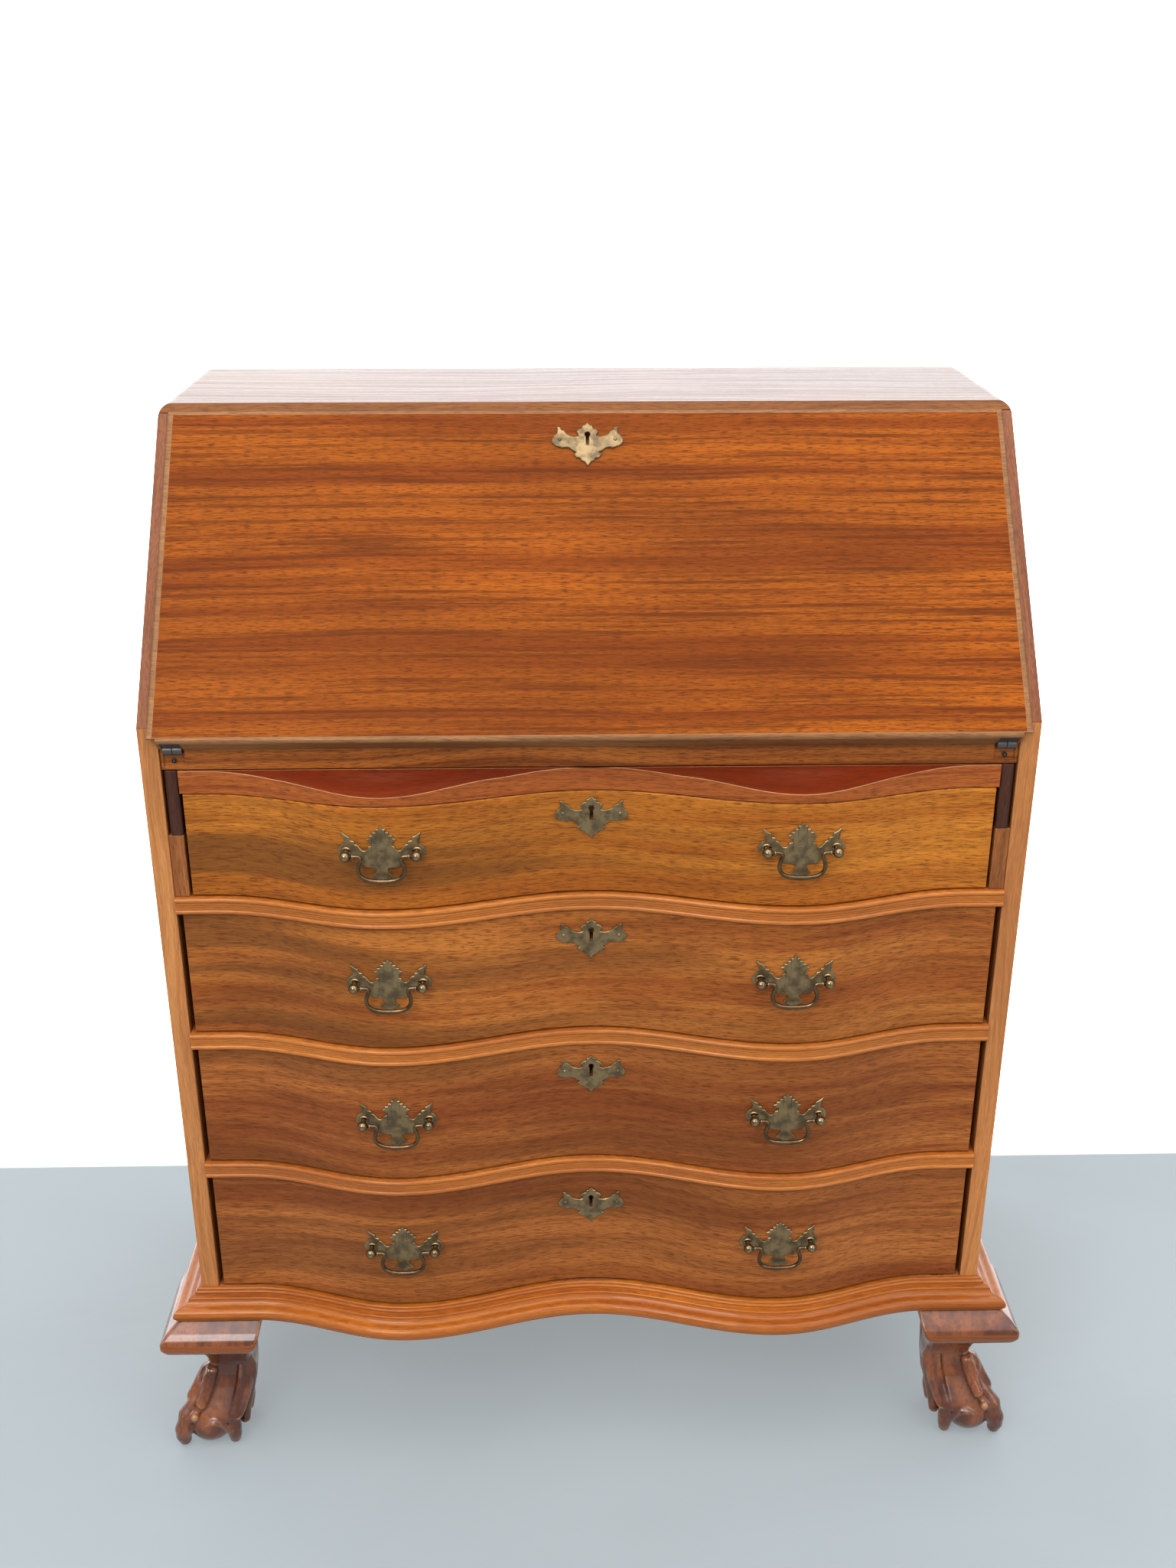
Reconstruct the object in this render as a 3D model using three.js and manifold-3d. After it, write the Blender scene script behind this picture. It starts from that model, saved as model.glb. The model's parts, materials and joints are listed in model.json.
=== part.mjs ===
// Slant-front secretary desk with a serpentine chest of four drawers on carved paw feet.
// Millimetres. X runs across the desk, Y from front to back, Z up. Y = 0 is the front edge of the sides.
import * as THREE from 'three';
import { mergeVertices } from 'three/addons/utils/BufferGeometryUtils.js';
import Module from 'manifold-3d';

const wasm = await Module();
wasm.setup();

// Case
const caseWidth = 813;
const caseDepth = 413;
const sideThickness = 18;
const backThickness = 8;
const footHeight = 170;
const baseHeight = 26; // underside of the base moulding to the floor of the lowest drawer
const openingHeights = [105, 131, 134, 139]; // drawer openings, top one first
const railThickness = 17;
const railProud = 5; // how far a rail stands out beyond the drawer fronts
const railBead = 3; // height of the bead along each edge of a rail
const railHollow = 1.6; // depth of the band between the beads
const railWidth = 55; // front to back, before the thinner dust board starts
const dustBoardThickness = 9;
const bottomThickness = 17.7;
const apronHeight = 21.7;
const apronDepth = 22;
const scoopDepth = 14; // how deep the finger scoops cut into the apron
const upperHeight = 271.5; // writing surface to the top of the desk
const topThickness = 18.5;
const topRound = 12;
const jointGap = 0.3; // between pieces that touch

// Serpentine front, in plan
const bulgeOffset = 190; // centre line to the crest of each bulge, where the pulls sit
const bulgeOut = 33;
const hollowBack = 2; // how far the middle of the front lies behind Y = 0
const straightEnd = 38.5; // flat stretch next to each side
const frontStep = 15; // spacing of the facets that make the curve

// Lid and its hinges
const slantAngle = THREE.MathUtils.degToRad(50.2); // closed lid, from horizontal
const lidThickness = 19.5; // also the thickness of the writing surface it opens level with
const lipThickness = 4;
const lipOverlap = 8.2; // how far the lip reaches over each side
const lipStart = 4; // bottom of the lip, up the slant from the hinge line
const topStrip = 10.8; // strip of the top board seen above the lid
const hingeSetback = 2; // hinge line behind Y = 0
const hingeRailWidth = 38;
const hingeClearance = 0.4;
const knuckleRadius = 4.5;
const knuckleLength = 8.8;
const hingePinRadius = 1.5;
const leafThickness = 1.4;
const leafHeight = 16;
const hingeInset = 3.5; // end of the hinge to the inner face of the side

// Lopers, the pull-out arms that carry the open lid
const loperWidth = 11.7;
const loperHeight = 64;
const loperSideGap = 2.5;
const loperBackGap = 75; // behind the loper, where its hidden linkage lies
const loperChamfer = 1.5;
const slidingGap = 0.5;

// Drawers
const drawerSideGap = 5.5;
const loperDrawerGap = 2.8;
const frontThickness = 24; // back of the drawer fronts, behind Y = 0
const frontBottomGap = 1.5;
const frontTopGap = 1.2;
const boxWall = 12;
const boxFloor = 9;
const boxTopGap = 12;
const boxBackGap = 15;

// Brass on the drawers and the lid
const plateThickness = 2;
const postBoring = 64;
const postDrops = [45, 59, 64, 66]; // drawer opening's ceiling down to the posts
const postReach = 9; // crest of the bulge to the middle of the ball
const ballRadius = 4.6;
const neckRadius = 2.6;
const bailWire = 1.8;
const bailPinRadius = 1.5;
const bailHoleRadius = 2;
const bailPinDepth = 3; // how deep the bail's ends reach into the balls' holes
const bailDrop = 23.2;
const bailHalfWidth = 20.4;
const keyholeDrops = [17.8, 22.3, 25.8, 32.8]; // opening's ceiling down to the round of the keyhole
const keyholeRadius = 2.9;
const keyholeSlot = 11.4;
const keyholeSlotWidth = 3.4;
const lidKeyholeDrop = 27.3; // lid's top edge down to the round of the keyhole
const drawerKeyplateScale = 0.93;

// Base moulding and feet
const mouldingOut = 26;
const mouldingSection = [
  // out from the case, up from the underside
  [0, 0],
  [mouldingOut - 2.5, 0],
  [mouldingOut, 7],
  [mouldingOut - 4.5, 13],
  [13, 14.5],
  [11.5, 19],
  [6.5, 20.5],
  [4.5, 25.4],
  [0, baseHeight - jointGap],
];

// Gallery of pigeonholes and small drawers inside the desk
const galleryLidGap = 14;
const galleryWall = 7;
const smallDrawerHeight = 62;
const smallDrawerCount = 3;
const pigeonholeCount = 6;
const smallDrawerGap = 0.7;
const smallDrawerWall = 6;

// Finishes
const finishes = {
  mahogany: { color: 0x9c5420, roughness: 0.35, metalness: 0 },
  redMahogany: { color: 0x7a3216, roughness: 0.3, metalness: 0 },
  darkMahogany: { color: 0x3c1c18, roughness: 0.35, metalness: 0 },
  lightMahogany: { color: 0xb86e30, roughness: 0.35, metalness: 0 },
  innerWood: { color: 0xa9763f, roughness: 0.6, metalness: 0 },
  antiqueBrass: { color: 0x6b5a33, roughness: 0.4, metalness: 0.9 },
  darkBronze: { color: 0x4a3323, roughness: 0.3, metalness: 0.9 },
  steel: { color: 0x55555a, roughness: 0.45, metalness: 0.9 },
};

// Places that follow from the sizes above
const halfWidth = caseWidth / 2;
const innerHalf = halfWidth - sideThickness;
const fittedHalf = innerHalf - jointGap;
const backFace = caseDepth - backThickness;
const fittedBack = backFace - jointGap;
const baseTop = footHeight + baseHeight;
const bulgeEnd = innerHalf - straightEnd;
const apronBottom = openingFloor(0) + openingHeights[0];
const apronTop = apronBottom + apronHeight;
const loperTop = apronTop + slidingGap;
const writingBottom = loperTop + jointGap;
const writingTop = writingBottom + lidThickness;
const caseTop = writingTop + upperHeight;
const topUnderside = caseTop - topThickness;
const loperOuter = innerHalf - loperSideGap;
const loperInner = loperOuter - loperWidth;
const loperBottom = loperTop - loperHeight;
const lidSeat = lidThickness - lipThickness - jointGap; // slanted edges of the sides, out from the hinge plane
const slantTop = (upperHeight - lidSeat * Math.cos(slantAngle)) / Math.sin(slantAngle);
const lidLength = slantTop - topStrip;
const hingeOuter = innerHalf - hingeInset;
const hingeRailFront = hingeSetback + hingeClearance;
const galleryFront = slantPoint(lidLength, 0)[0] + galleryLidGap;
const postY = -bulgeOut - postReach;

function openingFloor(drawer) {
  const below = openingHeights.slice(drawer + 1);
  return baseTop + below.reduce((sum, height) => sum + height + railThickness, 0);
}

function openingCeiling(drawer) {
  return openingFloor(drawer) + openingHeights[drawer];
}

// [y, z] of a point s up the slant from the hinge line and t out from the lid's inner face.
function slantPoint(s, t) {
  const y = hingeSetback + s * Math.cos(slantAngle) - t * Math.sin(slantAngle);
  const z = writingTop + s * Math.sin(slantAngle) + t * Math.cos(slantAngle);
  return [y, z];
}

// [y, z] where the line s = constant on the slant crosses the height z.
function slantAtHeight(s, z) {
  return slantPoint(s, (z - writingTop - s * Math.sin(slantAngle)) / Math.cos(slantAngle));
}

// Y of the drawer fronts at x: two bulges with a hollow between them.
function serpentine(x) {
  const across = Math.abs(x);
  if (across <= bulgeOffset) {
    const depth = (bulgeOut + hollowBack) / 2;
    return hollowBack - depth * (1 - Math.cos((Math.PI * across) / bulgeOffset));
  }
  if (across < bulgeEnd) {
    const along = (across - bulgeOffset) / (bulgeEnd - bulgeOffset);
    return (-bulgeOut / 2) * (1 + Math.cos(Math.PI * along));
  }
  return 0;
}

// Plan points of the serpentine from x0 to x1, moved out by offset.
function serpentineRun(x0, x1, offset = 0) {
  const stations = [x0];
  for (let i = Math.floor(x0 / frontStep) + 1; i * frontStep < x1; i += 1) {
    const x = i * frontStep;
    if (x - x0 > 1 && x1 - x > 1) stations.push(x);
  }
  stations.push(x1);
  return stations.map((x) => [x, serpentine(x) - offset]);
}

// Y at x of the facets that stand for the curve.
function onFacets(x) {
  const from = Math.floor(x / frontStep) * frontStep;
  const share = (x - from) / frontStep;
  return serpentine(from) * (1 - share) + serpentine(from + frontStep) * share;
}

// Turning a three.js geometry into a solid for joining and cutting, and back.
function solid(geometry) {
  const bare = geometry.clone();
  bare.deleteAttribute('normal');
  bare.deleteAttribute('uv');
  const merged = mergeVertices(bare, 1e-3);
  return new wasm.Manifold(
    new wasm.Mesh({
      numProp: 3,
      vertProperties: merged.attributes.position.array,
      triVerts: new Uint32Array(merged.index.array),
    }),
  );
}

function geometryOf(manifold) {
  const mesh = manifold.getMesh();
  const geometry = new THREE.BufferGeometry();
  geometry.setAttribute('position', new THREE.BufferAttribute(mesh.vertProperties, 3));
  geometry.setIndex(new THREE.BufferAttribute(mesh.triVerts, 1));
  geometry.computeVertexNormals();
  return geometry;
}

function joined(...geometries) {
  return geometryOf(geometries.map(solid).reduce((all, next) => all.add(next)));
}

function cut(geometry, ...tools) {
  return geometryOf(tools.map(solid).reduce((left, tool) => left.subtract(tool), solid(geometry)));
}

function common(geometry, other) {
  return geometryOf(solid(geometry).intersect(solid(other)));
}

function block(low, high) {
  const geometry = new THREE.BoxGeometry(high[0] - low[0], high[1] - low[1], high[2] - low[2]);
  return geometry.translate((low[0] + high[0]) / 2, (low[1] + high[1]) / 2, (low[2] + high[2]) / 2);
}

function shapeOf(points) {
  return new THREE.Shape(points.map(([x, y]) => new THREE.Vector2(x, y)));
}

const axisX = new THREE.Vector3(1, 0, 0);
const axisY = new THREE.Vector3(0, 1, 0);
const axisZ = new THREE.Vector3(0, 0, 1);

// A [y, z] outline pushed from x0 to x1.
function prismX(shape, x0, x1, steps = 1) {
  const geometry = new THREE.ExtrudeGeometry(shape, { depth: x1 - x0, steps, bevelEnabled: false });
  return geometry.applyMatrix4(new THREE.Matrix4().makeBasis(axisY, axisZ, axisX)).translate(x0, 0, 0);
}

// An [x, z] outline pushed from y0 to y1.
function prismY(shape, y0, y1, curveSegments = 4) {
  const options = { depth: y1 - y0, curveSegments, bevelEnabled: false };
  const geometry = new THREE.ExtrudeGeometry(shape, options);
  return geometry
    .applyMatrix4(new THREE.Matrix4().makeBasis(axisX, axisZ, axisY.clone().negate()))
    .translate(0, y1, 0);
}

// An [x, y] outline pushed from z0 to z1.
function prismZ(shape, z0, z1) {
  const geometry = new THREE.ExtrudeGeometry(shape, { depth: z1 - z0, bevelEnabled: false });
  return geometry.translate(0, 0, z0);
}

// Moves every vertex of a geometry by a function of its place.
function reshape(geometry, move) {
  const position = geometry.attributes.position;
  const point = new THREE.Vector3();
  for (let i = 0; i < position.count; i += 1) {
    point.fromBufferAttribute(position, i);
    move(point);
    position.setXYZ(i, point.x, point.y, point.z);
  }
  geometry.computeVertexNormals();
  return geometry;
}

function rodX(radius, x0, x1, sides = 12) {
  const geometry = new THREE.CylinderGeometry(radius, radius, x1 - x0, sides);
  return geometry.rotateZ(-Math.PI / 2).translate((x0 + x1) / 2, 0, 0);
}

function rodY(radius, y0, y1, sides = 8) {
  const geometry = new THREE.CylinderGeometry(radius, radius, y1 - y0, sides);
  return geometry.translate(0, (y0 + y1) / 2, 0);
}

function piece(parent, name, geometry, finish) {
  const mesh = new THREE.Mesh(geometry, new THREE.MeshStandardMaterial(finishes[finish]));
  mesh.name = name;
  parent.add(mesh);
  return mesh;
}

function groupAt(parent, x, y, z) {
  const group = new THREE.Group();
  group.position.set(x, y, z);
  parent.add(group);
  return group;
}

// Case boards
function sidePanel(parent, name, direction) {
  const outline = [
    [0, footHeight],
    [caseDepth, footHeight],
    [caseDepth, topUnderside - jointGap],
    slantAtHeight(lidLength + jointGap, topUnderside - jointGap),
    slantPoint(lidLength + jointGap, lidSeat),
    slantPoint((lidSeat * Math.sin(slantAngle) - hingeSetback) / Math.cos(slantAngle), lidSeat),
  ];
  const panel = piece(parent, name, prismX(shapeOf(outline), innerHalf, halfWidth), 'lightMahogany');
  panel.scale.x = direction;
}

function topBoard(parent) {
  const ends = new THREE.Shape();
  ends.moveTo(-halfWidth, topUnderside);
  ends.lineTo(halfWidth, topUnderside);
  ends.lineTo(halfWidth, caseTop - topRound);
  ends.absarc(halfWidth - topRound, caseTop - topRound, topRound, 0, Math.PI / 2);
  ends.lineTo(topRound - halfWidth, caseTop);
  ends.absarc(topRound - halfWidth, caseTop - topRound, topRound, Math.PI / 2, Math.PI);
  const bevel = lidLength + 2 * jointGap; // the lid's top edge closes against this
  const section = [
    slantAtHeight(bevel, topUnderside),
    [caseDepth, topUnderside],
    [caseDepth, caseTop],
    slantPoint(slantTop, lidSeat),
    slantPoint(bevel, lidSeat),
  ];
  const board = common(prismY(ends, 0, caseDepth), prismX(shapeOf(section), -caseWidth, caseWidth));
  piece(parent, 'top_board', board, 'redMahogany');
}

function flatBoards(parent) {
  const back = block([-fittedHalf, backFace, footHeight], [fittedHalf, caseDepth, topUnderside - jointGap]);
  piece(parent, 'back_panel', back, 'innerWood');
  const bottomTop = baseTop - jointGap;
  const bottom = block([-fittedHalf, 0, bottomTop - bottomThickness], [fittedHalf, fittedBack, bottomTop]);
  piece(parent, 'bottom_board', bottom, 'innerWood');
  const bedFront = hingeRailFront + hingeRailWidth + jointGap;
  const bed = block([-fittedHalf, bedFront, writingBottom], [fittedHalf, fittedBack, writingTop]);
  piece(parent, 'writing_bed', bed, 'mahogany');
}

// Serpentine rails between the drawers, each glued to the dust board behind it
function drawerRail(parent, name, top) {
  const bottom = top - railThickness;
  const outline = [
    [railBead - railProud, top],
    [-railProud, top - railBead],
    [railHollow - railProud, (top + bottom) / 2],
    [-railProud, bottom + railBead],
    [railBead - railProud, bottom],
    [railWidth, bottom],
    [railWidth, top - dustBoardThickness],
    [fittedBack, top - dustBoardThickness],
    [fittedBack, top],
  ];
  const steps = Math.round(fittedHalf / frontStep);
  const rail = prismX(shapeOf(outline), -fittedHalf, fittedHalf, steps);
  reshape(rail, (point) => {
    if (point.y < 0) point.y += serpentine(point.x);
  });
  piece(parent, name, rail, 'lightMahogany');
}

// How far the apron's top edge is cut down at x, 0 to 1: one hollow over each bulge.
function scoop(x) {
  const away = Math.abs(Math.abs(x) - bulgeOffset);
  const reach = bulgeEnd - bulgeOffset;
  return away < reach ? Math.min(1, 1.12 * Math.cos((Math.PI / 2) * (away / reach)) ** 2) : 0;
}

function apronRail(parent) {
  const half = loperInner - 2 * jointGap;
  const rail = new THREE.BoxGeometry(2 * half, 1, apronHeight, Math.round(half / frontStep), 3, 1);
  rail.translate(0, 0, apronBottom + apronHeight / 2);
  reshape(rail, (point) => {
    const row = Math.round((point.y + 0.5) * 3); // 0 is the front, 3 the back
    const front = serpentine(point.x);
    const onTop = point.z > apronBottom + 1;
    point.y = [front, Math.min(front, 0) / 2, hollowBack + 1, apronDepth][row];
    if (onTop) point.z -= scoopDepth * scoop(point.x) * [1, 0.4, 0, 0][row];
  });
  piece(parent, 'apron_rail', rail, 'redMahogany');
}

// Room in the hinge rail for the knuckles and fixed leaves of both hinges
function hingePockets() {
  const near = hingeOuter - 2 * knuckleLength - 2 * hingeClearance;
  const far = hingeOuter + hingeClearance;
  const low = writingTop - leafHeight - hingeClearance;
  const back = hingeRailFront + leafThickness + 2 * hingeClearance;
  const spans = [
    [near, far],
    [-far, -near],
  ];
  return spans.flatMap(([x0, x1]) => [
    rodX(knuckleRadius + hingeClearance, x0, x1, 16).translate(0, hingeSetback, writingTop),
    block([x0, 0, low], [x1, back, writingTop]),
  ]);
}

function hingeRail(parent) {
  const low = [-fittedHalf, hingeRailFront, writingBottom];
  const high = [fittedHalf, hingeRailFront + hingeRailWidth, writingTop];
  piece(parent, 'hinge_rail', cut(block(low, high), ...hingePockets()), 'mahogany');
}

// A leaf and half the knuckle stay on the rail, with the pin that the lid's knuckle turns on.
function fixedHinge(parent, name, direction) {
  const middle = hingeOuter - knuckleLength - jointGap / 2;
  const knuckle = rodX(knuckleRadius, middle + jointGap / 2, hingeOuter);
  const pin = rodX(hingePinRadius, hingeOuter - 2 * knuckleLength, hingeOuter - 1, 8);
  const leafFront = hingeClearance + jointGap / 2;
  const leaf = block(
    [hingeOuter - 2 * knuckleLength, leafFront, -leafHeight],
    [hingeOuter, leafFront + leafThickness, -knuckleRadius - jointGap],
  );
  const neck = block([middle + 1, leafFront, -knuckleRadius - 1], [hingeOuter, leafFront + leafThickness, 0]);
  const group = groupAt(parent, 0, hingeSetback, writingTop);
  piece(group, name, joined(knuckle, pin, leaf, neck), 'steel').scale.x = direction;
}

// Base moulding: the same section runs along the front, following the curve, and down both sides.
function baseMouldings(parent) {
  const frontSection = mouldingSection.map(([out, up]) => [-jointGap - out, footHeight + up]);
  const steps = Math.round(halfWidth / frontStep);
  const front = prismX(shapeOf(frontSection.reverse()), -halfWidth, halfWidth, steps);
  reshape(front, (point) => {
    const out = -jointGap - point.y;
    const atEnd = Math.abs(point.x) > halfWidth - 1;
    if (atEnd) point.x += Math.sign(point.x) * out; // the mitre
    if (out > 1) point.y += serpentine(point.x);
  });
  piece(parent, 'base_moulding_front', front, 'lightMahogany');

  const sideSection = mouldingSection.map(([out, up]) => [halfWidth + jointGap + out, footHeight + up]);
  const side = prismY(shapeOf(sideSection), 0, caseDepth);
  reshape(side, (point) => {
    const out = point.x - halfWidth - jointGap;
    if (point.y < 1) point.y = -out;
  });
  piece(parent, 'base_moulding_right', side, 'lightMahogany');
  piece(parent, 'base_moulding_left', side, 'lightMahogany').scale.x = -1;
}

// Feet: an overhanging shaped block narrows to an ankle, then spreads to the paw on the floor.
// Each level is [height as a share of the foot, inward reach, outward reach] from the case's corner.
const footLevels = [
  [0, 20, 30],
  [0.07, 26, 40],
  [0.165, 30, 39.5],
  [0.3, 38, 27],
  [0.44, 45, 19],
  [0.56, 47, 11],
  [0.635, 43, 4],
  [0.695, 41, 5],
  [0.74, 42, 16],
  [0.785, 46, 32],
  [0.835, 52, 40],
  [0.885, 57, 40.5],
  [0.94, 61, 34],
  [1, 63.5, 24],
];
const footRounding = 0.25;
const ankleShare = 0.635;
const pawSetback = 18; // the paw stands this much less forward than sideways

function footGeometry(frontOverhang) {
  const foot = new THREE.BoxGeometry(2, 2, 1, 3, 3, footLevels.length - 1);
  reshape(foot, (point) => {
    const [share, inward, outward] = footLevels[Math.round((point.z + 0.5) * (footLevels.length - 1))];
    const { x, y } = point;
    const round = share === 1 || share === 0 ? 0 : footRounding;
    const across = x * Math.sqrt(1 - (round * y * y) / 2);
    const along = y * Math.sqrt(1 - (round * x * x) / 2);
    const paw = Math.max(0, 1 - share / ankleShare);
    const setback = (frontOverhang ? pawSetback : outward) * paw;
    const front = frontOverhang ? outward - setback : -1;
    const back = inward + setback;
    point.x = halfWidth + (outward - inward) / 2 + (across * (outward + inward)) / 2;
    point.y = (back - front) / 2 + (along * (front + back)) / 2;
    point.z = share * (footHeight - jointGap);
  });
  return foot;
}

function feet(parent) {
  const front = footGeometry(true);
  const back = footGeometry(false).scale(1, -1, 1).translate(0, caseDepth, 0);
  back.index.array.reverse();
  [
    ['left', -1],
    ['right', 1],
  ].forEach(([side, direction]) => {
    piece(parent, `foot_front_${side}`, front, 'darkMahogany').scale.x = direction;
    piece(parent, `foot_back_${side}`, back, 'darkMahogany').scale.x = direction;
  });
}

// Lopers slide out from beside the top drawer, on a runner that also fills the slot below them.
function loperRunner(parent, name, direction) {
  const low = [loperInner, 0, openingFloor(0) + jointGap];
  const high = [fittedHalf, fittedBack, loperBottom - jointGap];
  piece(parent, name, block(low, high), 'mahogany').scale.x = direction;
}

function loper(parent, name, direction) {
  const back = fittedBack - loperBackGap;
  const plan = [
    [loperInner, loperChamfer],
    [loperInner + loperChamfer, 0],
    [loperOuter - loperChamfer, 0],
    [loperOuter, loperChamfer],
    [loperOuter, back],
    [loperInner, back],
  ];
  piece(parent, name, prismZ(shapeOf(plan), loperBottom, loperTop), 'darkMahogany').scale.x = direction;
}

// Brass plates. Outlines are the right half, from top to bottom, as [x, z] from the plate's own centre.
const pullPlateHalf = [
  [0, 27],
  [13.4, 13.4],
  [8.8, 8.6],
  [15, 2],
  [35.6, 19.6],
  [33.5, 9],
  [39.8, 0],
  [32, -7],
  [19, -5.5],
  [17, -13],
  [5.2, -15.6],
  [9.8, -24.5],
  [0, -29],
];
const keyplateHalf = [
  [0, 12.5],
  [10, 3],
  [8.5, -1.5],
  [14, -2],
  [28.5, 8.5],
  [33.5, -5],
  [24, -13.8],
  [17, -14],
  [10.7, -24.5],
  [0, -33],
];

function mirrored(half) {
  const left = half
    .slice(1, -1)
    .reverse()
    .map(([x, z]) => [-x, z]);
  return [...half, ...left];
}

// Keyhole outline: a round with a slot below it.
function keyholeShape() {
  const halfSlot = keyholeSlotWidth / 2;
  const start = Math.acos(halfSlot / keyholeRadius);
  const shape = new THREE.Shape();
  shape.moveTo(-halfSlot, -keyholeSlot);
  shape.lineTo(halfSlot, -keyholeSlot);
  shape.absarc(0, 0, keyholeRadius, -start, Math.PI + start);
  return shape;
}

// A plate of the given outline bent to lie on the serpentine, centred at x = centre and z = 0.
function bentPlate(half, centre, scale = 1) {
  const outline = mirrored(half).map(([x, z]) => [centre + x, z * scale]);
  const reach = Math.max(...half.map(([x]) => x)) + 5;
  const outer = serpentineRun(centre - reach, centre + reach, jointGap + plateThickness);
  const inner = serpentineRun(centre - reach, centre + reach, jointGap);
  const height = 2 * Math.max(...half.map(([, z]) => Math.abs(z)));
  const sheet = prismZ(shapeOf([...outer, ...inner.reverse()]), -height, height);
  return common(prismY(shapeOf(outline), -2 * bulgeOut, bulgeOut), sheet);
}

// Both posts of a pull carry a ball, bored on its inner side for the end of the bail.
function pullPlate(parent, name, centre) {
  const posts = [-1, 1].flatMap((side) => {
    const x = centre + (side * postBoring) / 2;
    const ball = new THREE.SphereGeometry(ballRadius, 8, 6).translate(x, postY, 0);
    const neckEnd = Math.min(onFacets(x - neckRadius), onFacets(x + neckRadius)) - 1.5 * jointGap;
    return [ball, rodY(neckRadius, postY, neckEnd).translate(x, 0, 0)];
  });
  const bore = rodX(
    bailHoleRadius,
    centre - postBoring / 2 + bailHoleRadius - bailPinDepth,
    centre + postBoring / 2 - bailHoleRadius + bailPinDepth,
    8,
  ).translate(0, postY, 0);
  piece(parent, name, cut(joined(bentPlate(pullPlateHalf, centre), ...posts), bore), 'antiqueBrass');
}

// The bail hangs from the posts and swings out and up.
function bail(parent, name) {
  const wide = bailHalfWidth;
  const end = postBoring / 2 - bailHoleRadius + bailPinDepth / 2;
  const right = [
    [0, -bailDrop],
    [wide - 7.5, -bailDrop + 1.2],
    [wide - 0.9, -bailDrop + 6.7],
    [wide - 0.1, -9],
    [wide - 2.1, -2.6],
    [wide + 1.2, 0],
  ];
  const left = right
    .slice(1)
    .reverse()
    .map(([x, z]) => [-x, z]);
  const curve = new THREE.CatmullRomCurve3([...left, ...right].map(([x, z]) => new THREE.Vector3(x, 0, z)));
  const wire = new THREE.Shape();
  wire.absarc(0, 0, bailWire, 0, 2 * Math.PI);
  const bow = new THREE.ExtrudeGeometry(wire, { steps: 12, curveSegments: 3, extrudePath: curve });
  const ends = [-1, 1].map((side) => {
    const from = Math.min(side * (wide + 0.8), side * end);
    const to = Math.max(side * (wide + 0.8), side * end);
    return rodX(bailPinRadius, from, to, 6);
  });
  piece(parent, name, joined(bow, ...ends), 'darkBronze');
}

function drawer(parent, index) {
  const name = `drawer_${index + 1}`;
  const floor = openingFloor(index);
  const ceiling = openingCeiling(index);
  const half = index === 0 ? loperInner - loperDrawerGap : innerHalf - drawerSideGap;
  const group = groupAt(parent, 0, 0, 0);

  const keyZ = ceiling - keyholeDrops[index];
  const keyhole = prismY(keyholeShape(), -2 * bulgeOut, 2 * frontThickness).translate(0, 0, keyZ);
  const plan = [...serpentineRun(-half, half), [half, frontThickness], [-half, frontThickness]];
  const front = prismZ(shapeOf(plan), floor + frontBottomGap, ceiling - frontTopGap);
  piece(group, `${name}_front`, cut(front, keyhole), 'mahogany');

  const boxFront = frontThickness + jointGap;
  const boxBack = fittedBack - boxBackGap;
  const boxBottom = floor + slidingGap;
  const outer = block([-half, boxFront, boxBottom], [half, boxBack, ceiling - boxTopGap]);
  const hollow = block(
    [boxWall - half, boxFront + boxWall, boxBottom + boxFloor],
    [half - boxWall, boxBack - boxWall, ceiling],
  );
  piece(group, `${name}_box`, cut(outer, hollow), 'innerWood');

  const keyplate = bentPlate(keyplateHalf, 0, drawerKeyplateScale).translate(0, 0, keyZ);
  piece(group, `${name}_keyplate`, cut(keyplate, keyhole), 'antiqueBrass');

  const postZ = ceiling - postDrops[index];
  [
    ['left', -1],
    ['right', 1],
  ].forEach(([side, direction]) => {
    const centre = direction * bulgeOffset;
    pullPlate(groupAt(group, 0, 0, postZ), `${name}_pull_plate_${side}`, centre);
    bail(groupAt(group, centre, postY, postZ), `${name}_bail_${side}`);
  });
}

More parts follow.
